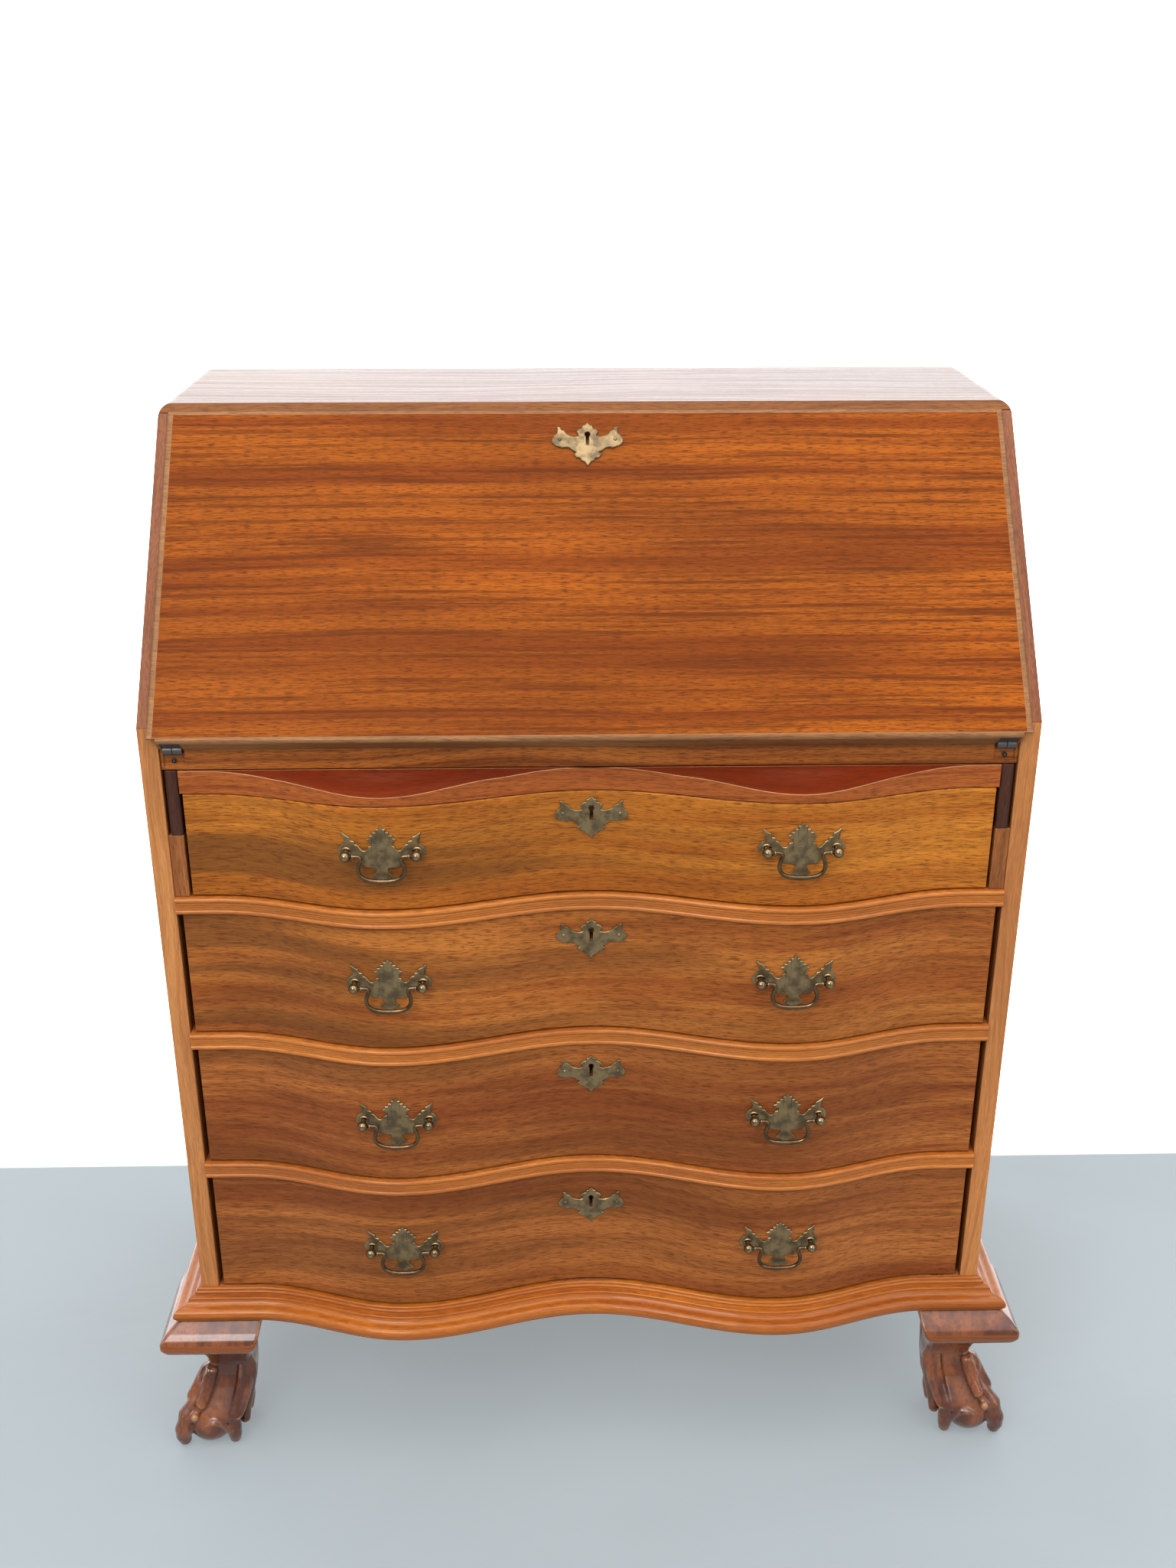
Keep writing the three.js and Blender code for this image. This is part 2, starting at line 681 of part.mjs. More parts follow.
// The lid is drawn lying in its own frame: X across, Y up the slant from the hinge line, Z outwards.
function lid(parent) {
  const group = groupAt(parent, 0, hingeSetback, writingTop);
  group.rotation.x = slantAngle;

  const slab = block([-fittedHalf, 0, 0], [fittedHalf, lidLength, lidThickness]);
  const lipHalf = innerHalf + lipOverlap;
  const lip = block([-lipHalf, lipStart, lidThickness - lipThickness], [lipHalf, lidLength, lidThickness]);
  const near = hingeOuter - 2 * knuckleLength - 2 * hingeClearance;
  const far = hingeOuter + hingeClearance;
  const pockets = [
    [near, far],
    [-far, -near],
  ].flatMap(([x0, x1]) => [
    rodX(knuckleRadius + hingeClearance, x0, x1, 16),
    block([x0, -1, 0], [x1, leafThickness + 2 * hingeClearance, leafHeight + hingeClearance]),
  ]);
  const keyY = lidLength - lidKeyholeDrop;
  const keyhole = prismZ(keyholeShape(), -1, 2 * lidThickness).translate(0, keyY, 0);
  piece(group, 'lid_panel', cut(joined(slab, lip), ...pockets, keyhole), 'mahogany');

  const plateLow = lidThickness + jointGap;
  const plate = prismZ(shapeOf(mirrored(keyplateHalf)), plateLow, plateLow + plateThickness);
  piece(group, 'lid_keyplate', cut(plate.translate(0, keyY, 0), keyhole), 'antiqueBrass');

  const inner = hingeOuter - 2 * knuckleLength;
  const outer = hingeOuter - knuckleLength - jointGap;
  const knuckle = rodX(knuckleRadius, inner, outer);
  const bore = rodX(hingePinRadius + hingeClearance, inner - 1, outer + 1, 8);
  const leafFront = hingeClearance / 2;
  const leaf = block(
    [inner, leafFront, knuckleRadius + jointGap],
    [hingeOuter, leafFront + leafThickness, leafHeight],
  );
  const neck = block([inner, leafFront, hingePinRadius + 1], [outer, leafFront + leafThickness, knuckleRadius + 1]);
  const hinge = cut(joined(knuckle, leaf, neck), bore);
  piece(group, 'lid_hinge_right', hinge, 'steel');
  piece(group, 'lid_hinge_left', hinge, 'steel').scale.x = -1;
}

// Gallery: small drawers below a row of pigeonholes, standing on the writing surface
function gallery(parent) {
  const low = [-fittedHalf, galleryFront, writingTop + jointGap];
  const high = [fittedHalf, fittedBack, topUnderside - jointGap];
  const innerLow = low[0] + galleryWall;
  const innerWidth = high[0] - low[0] - 2 * galleryWall;
  const holeBack = fittedBack - galleryWall;
  const row = (count, z0, z1) => {
    const width = (innerWidth - (count - 1) * galleryWall) / count;
    return Array.from({ length: count }, (_, i) => {
      const x = innerLow + i * (width + galleryWall);
      return { low: [x, low[1], z0], high: [x + width, holeBack, z1] };
    });
  };
  const drawerFloor = low[2] + galleryWall;
  const shelf = drawerFloor + smallDrawerHeight + galleryWall;
  const drawerCells = row(smallDrawerCount, drawerFloor, shelf - galleryWall);
  const pigeonholes = row(pigeonholeCount, shelf, high[2] - galleryWall);
  const holes = [...drawerCells, ...pigeonholes].map((cell) => {
    return block([cell.low[0], cell.low[1] - 1, cell.low[2]], cell.high);
  });
  piece(parent, 'gallery', cut(block(low, high), ...holes), 'mahogany');

  drawerCells.forEach((cell, i) => {
    const box = block(
      cell.low.map((value, axis) => (axis === 1 ? value : value + smallDrawerGap)),
      cell.high.map((value) => value - smallDrawerGap),
    );
    const hollow = block(
      cell.low.map((value) => value + smallDrawerGap + smallDrawerWall),
      [cell.high[0] - smallDrawerGap - smallDrawerWall, cell.high[1] - smallDrawerGap - smallDrawerWall, caseTop],
    );
    piece(parent, `small_drawer_${i + 1}`, cut(box, hollow), 'mahogany');
  });
}

const desk = new THREE.Group();
sidePanel(desk, 'side_panel_right', 1);
sidePanel(desk, 'side_panel_left', -1);
topBoard(desk);
flatBoards(desk);
openingHeights.slice(0, -1).forEach((_, index) => {
  drawerRail(desk, `drawer_rail_${index + 1}`, openingFloor(index));
});
apronRail(desk);
hingeRail(desk);
fixedHinge(desk, 'hinge_right', 1);
fixedHinge(desk, 'hinge_left', -1);
baseMouldings(desk);
feet(desk);
loperRunner(desk, 'loper_runner_right', 1);
loperRunner(desk, 'loper_runner_left', -1);
loper(desk, 'loper_right', 1);
loper(desk, 'loper_left', -1);
openingHeights.forEach((_, index) => drawer(desk, index));
lid(desk);
gallery(desk);

// The origin is the middle of the footprint, on the floor.
const bounds = new THREE.Box3().setFromObject(desk);
const middle = bounds.getCenter(new THREE.Vector3());
desk.position.set(-middle.x, -middle.y, -bounds.min.z);

export default desk;
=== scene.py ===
import json
import math

import bmesh
import bpy
from mathutils import Matrix, Vector


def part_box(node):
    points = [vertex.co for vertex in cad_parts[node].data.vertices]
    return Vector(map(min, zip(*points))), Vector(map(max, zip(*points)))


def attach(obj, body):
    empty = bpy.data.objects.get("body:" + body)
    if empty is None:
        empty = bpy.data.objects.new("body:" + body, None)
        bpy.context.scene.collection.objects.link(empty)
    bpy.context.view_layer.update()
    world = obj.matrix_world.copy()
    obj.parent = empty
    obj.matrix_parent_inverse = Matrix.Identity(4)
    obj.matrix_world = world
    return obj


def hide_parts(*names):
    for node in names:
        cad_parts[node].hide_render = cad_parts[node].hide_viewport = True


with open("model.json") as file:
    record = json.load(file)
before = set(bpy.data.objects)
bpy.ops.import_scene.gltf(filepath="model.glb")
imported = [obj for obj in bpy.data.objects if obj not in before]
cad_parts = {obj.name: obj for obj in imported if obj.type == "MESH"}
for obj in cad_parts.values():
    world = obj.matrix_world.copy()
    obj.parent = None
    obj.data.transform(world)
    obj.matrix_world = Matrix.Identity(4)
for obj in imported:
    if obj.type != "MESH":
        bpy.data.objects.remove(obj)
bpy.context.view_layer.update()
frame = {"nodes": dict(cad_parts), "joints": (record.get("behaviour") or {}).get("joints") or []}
print("frame loaded")


def lowOf(node):
    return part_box(node)[0]


def highOf(node):
    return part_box(node)[1]


def middleOf(node):
    return (lowOf(node) + highOf(node)) / 2


def jointAt(name):
    return Vector(next(joint["pos_m"] for joint in frame["joints"] if joint["name"] == name))


# Places that many pieces share, all from the frame, in metres
front = lowOf("side_panel_right").y  # front edges of the two sides
back = highOf("side_panel_right").y
caseHalf = highOf("side_panel_right").x
innerHalf = lowOf("side_panel_right").x
drawerNames = ["drawer_1", "drawer_2", "drawer_3", "drawer_4"]
sides = {"left": -1, "right": 1}
mm = 0.001

curve = {
    "crest": middleOf("drawer_1_pull_plate_right").x,  # centre line to the top of each bulge
    "bulge": 33 * mm,
    "hollow": 2 * mm,  # how far the middle lies behind the sides' front edges
    "straight": 38.5 * mm,  # flat stretch beside each side
    "steps": 130,
}


def serpentine(x):
    # y of the drawer fronts at x
    across = abs(x)
    bulgeEnd = innerHalf - curve["straight"]
    if across <= curve["crest"]:
        swing = (curve["bulge"] + curve["hollow"]) / 2
        return front + curve["hollow"] - swing * (1 - math.cos(math.pi * across / curve["crest"]))
    if across < bulgeEnd:
        share = (across - curve["crest"]) / (bulgeEnd - curve["crest"])
        return front - curve["bulge"] / 2 * (1 + math.cos(math.pi * share))
    return front


# Materials

def addNode(tree, kind, inputs=(), **settings):
    made = tree.nodes.new(kind)
    for key, value in settings.items():
        setattr(made, key, value)
    for socket, value in dict(inputs).items():
        if isinstance(value, bpy.types.NodeSocket):
            tree.links.new(value, made.inputs[socket])
        else:
            made.inputs[socket].default_value = value
    return made


def blendColours(tree, amount, first, second, mode="MIX"):
    inputs = {0: amount, 6: first, 7: second}
    return addNode(tree, "ShaderNodeMix", inputs, data_type="RGBA", blend_type=mode).outputs[2]


def stretchedNoise(tree, point, scale, detail=2.0, roughness=0.5, distortion=0.0):
    moved = addNode(tree, "ShaderNodeMapping", {"Vector": point, "Scale": scale})
    inputs = {
        "Vector": moved.outputs["Vector"],
        "Scale": 1.0,
        "Detail": detail,
        "Roughness": roughness,
        "Distortion": distortion,
    }
    return addNode(tree, "ShaderNodeTexNoise", inputs).outputs["Fac"]


def remap(tree, value, low, high, newLow=0.0, newHigh=1.0):
    inputs = {"Value": value, "From Min": low, "From Max": high, "To Min": newLow, "To Max": newHigh}
    return addNode(tree, "ShaderNodeMapRange", inputs, interpolation_type="SMOOTHSTEP").outputs["Result"]


def newMaterial(name):
    material = bpy.data.materials.new(name)
    material.use_nodes = True
    shader = material.node_tree.nodes["Principled BSDF"]
    return material, material.node_tree, shader


woodDefaults = {
    "turn": (0, 0, 0),  # degrees, brings the grain onto the texture's X
    "shift": (0, 0, 0),
    "light": (0.38, 0.094, 0.008, 1),
    "mid": (0.235, 0.047, 0.005, 1),
    "dark": (0.085, 0.017, 0.004, 1),
    "smoke": (0.11, 0.036, 0.009, 1),
    "smokeAmount": 0.0,
    "band": 36.0,  # ribbon bands to the metre, more or less
    "wave": 0.012,  # how far the bands wander
    "contrast": 1.0,
    "lines": 0.5,  # strength of the dark streaks
    "pores": 0.7,
    "clouds": 0.35,
    "smokeFrom": 0.6,  # x where the smoky bands begin and where they are full
    "smokeTo": 0.5,
    "smokeEdges": (0.47, 0.60),  # noise levels where a smoky band starts and where it is full
    "roughness": 0.36,
    "specular": 0.28,
    "coat": 0.06,
    "coatRoughness": 0.15,
    "bump": 0.35,
}


def woodMaterial(name, changes=()):
    look = {**woodDefaults, **dict(changes)}
    material, tree, shader = newMaterial(name)
    place = addNode(tree, "ShaderNodeTexCoord").outputs["Object"]
    turn = [math.radians(angle) for angle in look["turn"]]
    inputs = {"Vector": place, "Location": look["shift"], "Rotation": turn}
    grain = addNode(tree, "ShaderNodeMapping", inputs).outputs["Vector"]

    # the grain wanders slowly across the board
    slow = addNode(tree, "ShaderNodeTexNoise", {"Vector": grain, "Scale": 3.2, "Detail": 1.5})
    centred = addNode(
        tree, "ShaderNodeVectorMath", {0: slow.outputs["Color"], 1: (0.5, 0.5, 0.5)}, operation="SUBTRACT"
    ).outputs["Vector"]
    sway = addNode(
        tree, "ShaderNodeVectorMath", {0: centred, 1: (0, 0, look["wave"] * 4)}, operation="MULTIPLY"
    ).outputs["Vector"]
    grain = addNode(tree, "ShaderNodeVectorMath", {0: grain, 1: sway}, operation="ADD").outputs["Vector"]

    ribbon = stretchedNoise(tree, grain, (1.0, 2.0, look["band"]), 3.0, 0.6)
    streak = stretchedNoise(tree, grain, (5.0, 20.0, look["band"] * 6), 4.0, 0.65)
    fleck = stretchedNoise(tree, grain, (85.0, 200.0, 1250.0), 2.0, 0.6)
    fibre = stretchedNoise(tree, grain, (60.0, 200.0, 1500.0), 2.0, 0.6)
    patch = stretchedNoise(tree, grain, (2.2, 2.0, 5.0), 2.0, 0.5)

    spread = 0.15 / look["contrast"]
    bands = remap(tree, ribbon, 0.5 - spread, 0.5 + spread)
    colour = blendColours(tree, bands, look["mid"], look["light"])
    lines = remap(tree, streak, 0.44, 0.68, 0.0, look["lines"])
    colour = blendColours(tree, lines, colour, look["dark"])
    shade = remap(tree, patch, 0.34, 0.66, 0.0, look["clouds"])
    colour = blendColours(tree, shade, colour, look["dark"])
    if look["smokeAmount"]:
        cloud = stretchedNoise(tree, grain, (1.2, 2.0, 26.0), 2.0, 0.5, 0.3)
        smoke = remap(tree, cloud, *look["smokeEdges"], 0.0, look["smokeAmount"])
        across = addNode(tree, "ShaderNodeSeparateXYZ", {"Vector": place}).outputs["X"]
        along = remap(tree, across, look["smokeFrom"], look["smokeTo"], 0.15, 1.0)
        smoke = addNode(tree, "ShaderNodeMath", {0: smoke, 1: along}, operation="MULTIPLY").outputs["Value"]
        colour = blendColours(tree, smoke, colour, look["smoke"])
    haze = remap(tree, fibre, 0.25, 0.75, 0.84, 1.16)
    lit = addNode(tree, "ShaderNodeHueSaturation", {"Color": colour, "Value": haze}).outputs["Color"]
    pores = remap(tree, fleck, 0.48, 0.66, 0.0, look["pores"])
    tree.links.new(blendColours(tree, pores, lit, look["dark"]), shader.inputs["Base Color"])

    dull = remap(tree, streak, 0.3, 0.7, look["roughness"] - 0.05, look["roughness"] + 0.07)
    tree.links.new(dull, shader.inputs["Roughness"])
    shader.inputs["Specular IOR Level"].default_value = look["specular"]
    shader.inputs["Specular Tint"].default_value = (1.0, 0.64, 0.36, 1)
    shader.inputs["Coat Weight"].default_value = look["coat"]
    shader.inputs["Coat Roughness"].default_value = look["coatRoughness"]
    relief = addNode(tree, "ShaderNodeMath", {0: fibre, 1: pores}, operation="SUBTRACT").outputs["Value"]
    bump = addNode(
        tree, "ShaderNodeBump", {"Strength": look["bump"], "Distance": 0.12 * mm, "Height": relief}
    )
    tree.links.new(bump.outputs["Normal"], shader.inputs["Normal"])
    return material


brassDefaults = {
    "base": (0.27, 0.185, 0.090, 1),
    "tarnish": (0.120, 0.086, 0.048, 1),
    "rubbed": (0.36, 0.26, 0.13, 1),
    "roughness": (0.34, 0.52),
    "edges": 0.8,
    "metal": 0.85,
}


def brassMaterial(name, changes=()):
    look = {**brassDefaults, **dict(changes)}
    material, tree, shader = newMaterial(name)
    place = addNode(tree, "ShaderNodeTexCoord").outputs["Object"]
    mottle = stretchedNoise(tree, place, (90, 90, 90), 4.0, 0.6)
    fine = stretchedNoise(tree, place, (900, 900, 900), 3.0, 0.6)
    patches = remap(tree, mottle, 0.38, 0.66)
    colour = blendColours(tree, patches, look["base"], look["tarnish"])
    worn = addNode(tree, "ShaderNodeNewGeometry").outputs["Pointiness"]
    rub = remap(tree, worn, 0.52, 0.60, 0.0, look["edges"])
    tree.links.new(blendColours(tree, rub, colour, look["rubbed"]), shader.inputs["Base Color"])
    low, high = look["roughness"]
    tree.links.new(remap(tree, mottle, 0.3, 0.7, low, high), shader.inputs["Roughness"])
    shader.inputs["Metallic"].default_value = look["metal"]
    bump = addNode(tree, "ShaderNodeBump", {"Strength": 0.25, "Distance": 0.1 * mm, "Height": fine})
    tree.links.new(bump.outputs["Normal"], shader.inputs["Normal"])
    return material


footDefaults = {
    "light": (0.230, 0.064, 0.018, 1),
    "dark": (0.075, 0.019, 0.008, 1),
    "worn": (0.52, 0.26, 0.10, 1),
    "wornFrom": 0.516,
    "wornTo": 0.56,
    "roughness": 0.24,
    "coat": 0.7,
    "coatRoughness": 0.12,
    "specular": 0.3,
}


def footMaterial(name, changes=()):
    # dark wood, rubbed pale on its high places, with painted shade darkening its creases
    look = {**footDefaults, **dict(changes)}
    material, tree, shader = newMaterial(name)
    place = addNode(tree, "ShaderNodeTexCoord").outputs["Object"]
    mottle = stretchedNoise(tree, place, (30, 30, 18), 3.0, 0.6)
    grain = stretchedNoise(tree, place, (300, 300, 30), 3.0, 0.6)
    worn = addNode(tree, "ShaderNodeNewGeometry").outputs["Pointiness"]
    colour = blendColours(tree, remap(tree, mottle, 0.36, 0.64), look["dark"], look["light"])
    colour = blendColours(tree, remap(tree, grain, 0.48, 0.66, 0.0, 0.55), colour, look["dark"])
    rub = remap(tree, worn, look["wornFrom"], look["wornTo"], 0.0, 0.85)
    colour = blendColours(tree, rub, colour, look["worn"])
    # painted shade: the same pointiness reading darkens concave creases towards near black
    creaseShade = remap(tree, worn, 0.44, 0.49, 0.85, 0.0)
    tree.links.new(blendColours(tree, creaseShade, colour, (0.008, 0.004, 0.004, 1)), shader.inputs["Base Color"])
    shader.inputs["Roughness"].default_value = look["roughness"]
    shader.inputs["Coat Weight"].default_value = look["coat"]
    shader.inputs["Coat Roughness"].default_value = look["coatRoughness"]
    shader.inputs["Specular IOR Level"].default_value = look["specular"]
    bump = addNode(tree, "ShaderNodeBump", {"Strength": 0.3, "Distance": 0.2 * mm, "Height": grain})
    tree.links.new(bump.outputs["Normal"], shader.inputs["Normal"])
    return material


# which way the grain runs, and which face shows its bands
upright = (0, 90, 0)
uprightOnX = (90, 0, 90)
flatOnZ = (90, 0, 0)
crosswise = (0, 0, 90)
finishes = {
    "lid": woodMaterial("lid_mahogany", {"turn": (39.8, 0, 0), "band": 42.0, "shift": (0.3, 0, 0.1),
                                        "wave": 0.003, "contrast": 1.5, "clouds": 0.5,
                                        "lines": 0.8, "pores": 0.9, "specular": 0.12, "coat": 0.0}),
    "lidRim": woodMaterial(
        "lid_rim_mahogany",
        {"light": (0.30, 0.14, 0.055, 1), "mid": (0.23, 0.10, 0.04, 1), "dark": (0.10, 0.04, 0.017, 1),
         "band": 90.0, "specular": 0.4},
    ),
    # painted highlight: a pale colour painted on thin edges and steps where bright lines of light show
    "highlightEdge": woodMaterial(
        "painted_highlight_edge_mahogany",
        {"light": (0.54, 0.29, 0.14, 1), "mid": (0.44, 0.20, 0.085, 1), "dark": (0.26, 0.10, 0.04, 1),
         "pores": 0.3, "lines": 0.3, "specular": 0.5},
    ),
    "top": woodMaterial(
        "top_mahogany",
        {"light": (0.16, 0.045, 0.016, 1), "mid": (0.10, 0.026, 0.011, 1), "dark": (0.04, 0.012, 0.007, 1),
         "turn": flatOnZ, "roughness": 0.2, "specular": 0.30, "coat": 0.0},
    ),
    "topEdge": woodMaterial(
        "top_edge_mahogany",
        {"light": (0.23, 0.082, 0.022, 1), "mid": (0.18, 0.056, 0.015, 1), "dark": (0.08, 0.022, 0.008, 1),
         "band": 90.0},
    ),
    "edge": woodMaterial(
        "edge_mahogany",
        {"light": (0.27, 0.095, 0.045, 1), "mid": (0.19, 0.060, 0.030, 1), "dark": (0.08, 0.022, 0.013, 1),
         "turn": upright, "band": 90.0},
    ),
    "stile": woodMaterial(
        "stile_mahogany",
        {"turn": upright, "light": (0.55, 0.235, 0.078, 1), "mid": (0.46, 0.172, 0.052, 1),
         "dark": (0.26, 0.09, 0.03, 1), "band": 60.0, "contrast": 0.7, "pores": 0.3},
    ),
    "side": woodMaterial(
        "side_mahogany",
        {"turn": uprightOnX, "light": (0.42, 0.155, 0.042, 1), "mid": (0.31, 0.098, 0.026, 1),
         "dark": (0.14, 0.042, 0.015, 1), "band": 34.0},
    ),
    "rail": woodMaterial(
        "rail_mahogany",
        {"light": (0.53, 0.175, 0.028, 1), "mid": (0.39, 0.110, 0.017, 1), "dark": (0.18, 0.045, 0.012, 1),
         "band": 60.0, "lines": 0.2, "pores": 0.3, "coat": 0.35, "coatRoughness": 0.12},
    ),
    "base": woodMaterial(
        "base_mahogany",
        {"light": (0.44, 0.130, 0.014, 1), "mid": (0.32, 0.080, 0.009, 1), "dark": (0.14, 0.032, 0.007, 1),
         "band": 60.0, "lines": 0.2, "pores": 0.3, "coat": 0.35, "coatRoughness": 0.05},
    ),
    "baseEnd": woodMaterial(
        "base_end_mahogany",
        {"light": (0.36, 0.115, 0.025, 1), "mid": (0.27, 0.072, 0.017, 1), "dark": (0.12, 0.030, 0.010, 1),
         "turn": crosswise, "band": 60.0, "lines": 0.2, "pores": 0.3, "coat": 0.6, "coatRoughness": 0.08},
    ),
    "apron": woodMaterial(
        "apron_mahogany",
        {"light": (0.40, 0.100, 0.016, 1), "mid": (0.26, 0.054, 0.010, 1), "dark": (0.10, 0.020, 0.006, 1),
         "band": 70.0, "contrast": 1.4, "coat": 0.2, "coatRoughness": 0.1},
    ),
    "hollow": woodMaterial(
        "hollow_mahogany",
        {"light": (0.23, 0.026, 0.004, 1), "mid": (0.15, 0.016, 0.003, 1), "dark": (0.06, 0.008, 0.003, 1),
         "turn": flatOnZ, "band": 40.0, "lines": 0.2, "coat": 0.7, "coatRoughness": 0.14},
    ),
    "hingeRail": woodMaterial(
        "hinge_rail_mahogany",
        {"light": (0.36, 0.105, 0.018, 1), "mid": (0.15, 0.034, 0.007, 1), "dark": (0.06, 0.014, 0.005, 1),
         "band": 50.0, "contrast": 1.6, "shift": (0.7, 0, 0)},
    ),
    "dark": woodMaterial(
        "dark_mahogany",
        {"turn": upright, "light": (0.080, 0.028, 0.020, 1), "mid": (0.055, 0.019, 0.014, 1),
         "dark": (0.025, 0.009, 0.007, 1), "band": 100.0},
    ),
    "filler": woodMaterial(
        "filler_mahogany",
        {"turn": upright, "light": (0.36, 0.13, 0.038, 1), "mid": (0.26, 0.080, 0.024, 1),
         "dark": (0.12, 0.038, 0.014, 1), "band": 90.0, "roughness": 0.45},
    ),
    "inside": woodMaterial(
        "inside_mahogany",
        {"light": (0.38, 0.14, 0.04, 1), "mid": (0.29, 0.09, 0.026, 1), "roughness": 0.5,
         "shift": (0.1, 0.4, 0)},
    ),
    "bare": woodMaterial(
        "bare_wood",
        {"turn": crosswise, "light": (0.52, 0.34, 0.17, 1), "mid": (0.44, 0.27, 0.12, 1),
         "dark": (0.26, 0.14, 0.06, 1), "contrast": 0.6, "roughness": 0.62, "coat": 0.0, "band": 24.0},
    ),
    "foot": footMaterial("foot_mahogany"),
    "footBlock": woodMaterial(
        "foot_block_mahogany",
        {"light": (0.36, 0.105, 0.020, 1), "mid": (0.24, 0.060, 0.013, 1), "dark": (0.08, 0.018, 0.007, 1),
         "band": 60.0, "pores": 0.3, "coat": 0.4},
    ),
    "brass": brassMaterial("antique_brass", {"edges": 0.0}),
    "rubbedBrass": brassMaterial(
        "rubbed_brass", {"base": (0.30, 0.22, 0.11, 1), "tarnish": (0.14, 0.10, 0.05, 1), "edges": 0.4}
    ),
    "bronze": brassMaterial(
        "dark_bronze",
        {"base": (0.13, 0.075, 0.040, 1), "tarnish": (0.055, 0.034, 0.022, 1), "roughness": (0.2, 0.34),
         "metal": 1.0},
    ),
    "knob": brassMaterial(
        "polished_brass",
        {"base": (0.24, 0.17, 0.09, 1), "tarnish": (0.13, 0.09, 0.05, 1), "roughness": (0.12, 0.2),
         "metal": 1.0},
    ),
    "steel": brassMaterial(
        "hinge_steel",
        {"base": (0.030, 0.026, 0.026, 1), "tarnish": (0.014, 0.011, 0.011, 1),
         "rubbed": (0.16, 0.14, 0.13, 1)},
    ),
}
drawerLooks = [
    {"light": (0.62, 0.215, 0.024, 1), "mid": (0.44, 0.125, 0.013, 1), "smokeAmount": 0.75,
     "smokeFrom": 0.1, "smokeTo": -0.2, "lines": 0.35, "contrast": 1.3},
    {"light": (0.48, 0.160, 0.030, 1), "mid": (0.31, 0.082, 0.015, 1), "smokeAmount": 0.65,
     "smokeFrom": 0.3, "smokeTo": -0.2, "lines": 0.4, "contrast": 1.4},
    {"light": (0.43, 0.138, 0.030, 1), "mid": (0.26, 0.066, 0.015, 1), "smokeAmount": 0.5,
     "smokeFrom": 0.4, "smokeTo": -0.1, "lines": 0.45, "contrast": 1.5},
    {"light": (0.42, 0.135, 0.030, 1), "mid": (0.25, 0.065, 0.015, 1), "smokeAmount": 0.45,
     "smokeFrom": 0.4, "smokeTo": -0.1, "lines": 0.45, "contrast": 1.5},
]
for index, look in enumerate(drawerLooks):
    shift = {"shift": (0.9 * index, 0.2 * index, 0.35 * index), "band": 26.0}
    finishes[drawerNames[index]] = woodMaterial(drawerNames[index] + "_mahogany", {**look, **shift})
print("materials made")


# Mesh helpers

def finishPiece(name, bm, finish, body, stands=(), smoothAngle=35, extra=(), turned=True):
    if turned:
        bmesh.ops.recalc_face_normals(bm, faces=bm.faces)
    mesh = bpy.data.meshes.new(name)
    bm.to_mesh(mesh)
    bm.free()
    mesh.shade_smooth()
    mesh.set_sharp_from_angle(angle=math.radians(smoothAngle))
    for key in (finish, *extra):
        mesh.materials.append(finishes[key])
    piece = bpy.data.objects.new(name, mesh)
    bpy.context.scene.collection.objects.link(piece)
    weighted = piece.modifiers.new("even shading", "WEIGHTED_NORMAL")
    weighted.keep_sharp = True
    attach(piece, body)
    if stands:
        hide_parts(*stands)
    return piece


def softenEdges(bm, width, segments=2, least=25, edges=None):
    sharp = [
        edge for edge in (edges or bm.edges)
        if edge.is_manifold and edge.calc_face_angle() > math.radians(least)
    ]
    bmesh.ops.bevel(
        bm, geom=sharp, offset=width, offset_type="OFFSET", affect="EDGES", segments=segments, profile=0.5,
        material=-1, clamp_overlap=True,
    )


def softenedCopy(node, width, segments=2):
    # a CAD piece with its flat faces joined up and its edges eased
    bm = bmesh.new()
    bm.from_mesh(frame["nodes"][node].data)
    bmesh.ops.remove_doubles(bm, verts=bm.verts, dist=0.01 * mm)
    bmesh.ops.dissolve_limit(bm, angle_limit=math.radians(2), verts=bm.verts, edges=bm.edges)
    softenEdges(bm, width, segments)
    return bm


def addBoard(bm, low, high, rounding=0.8 * mm, segments=2):
    low, high = Vector(low), Vector(high)
    made = bmesh.ops.create_cube(bm, size=1)["verts"]
    bmesh.ops.scale(bm, vec=high - low, verts=made)
    bmesh.ops.translate(bm, vec=(low + high) / 2, verts=made)
    edges = list({edge for vert in made for edge in vert.link_edges})
    if rounding:
        softenEdges(bm, rounding, segments, edges=edges)
    return made


def arc(centreA, centreB, radius, start, end, steps=6):
    # points of an arc from start to end, in degrees
    angles = [math.radians(start + (end - start) * i / steps) for i in range(steps + 1)]
    return [(centreA + radius * math.cos(angle), centreB + radius * math.sin(angle)) for angle in angles]


def sweptAlongX(section, low, high, steps):
    # a closed [y, z] section pushed along X and cut into steps
    bm = bmesh.new()
    face = bm.faces.new([bm.verts.new((low, y, z)) for y, z in section])
    made = bmesh.ops.extrude_face_region(bm, geom=[face])["geom"]
    far = [item for item in made if isinstance(item, bmesh.types.BMVert)]
    bmesh.ops.translate(bm, vec=(high - low, 0, 0), verts=far)
    half = (high - low) / 2
    lengthwise = [edge for edge in bm.edges if abs(edge.verts[0].co.x - edge.verts[1].co.x) > half]
    if steps > 1:
        bmesh.ops.subdivide_edges(bm, edges=lengthwise, cuts=steps - 1, use_grid_fill=True)
    return bm


def addPrism(bm, outline, axis, low, high):
    # an outline pushed along an axis; its points give the other two places in order
    def place(point, along):
        spread = list(point)
        spread.insert("XYZ".index(axis), along)
        return spread

    face = bm.faces.new([bm.verts.new(place(point, low)) for point in outline])
    made = bmesh.ops.extrude_face_region(bm, geom=[face])["geom"]
    far = [item for item in made if isinstance(item, bmesh.types.BMVert)]
    bmesh.ops.translate(bm, vec=place((0, 0), high - low), verts=far)


def prism(outline, axis, low, high):
    bm = bmesh.new()
    addPrism(bm, outline, axis, low, high)
    return bm


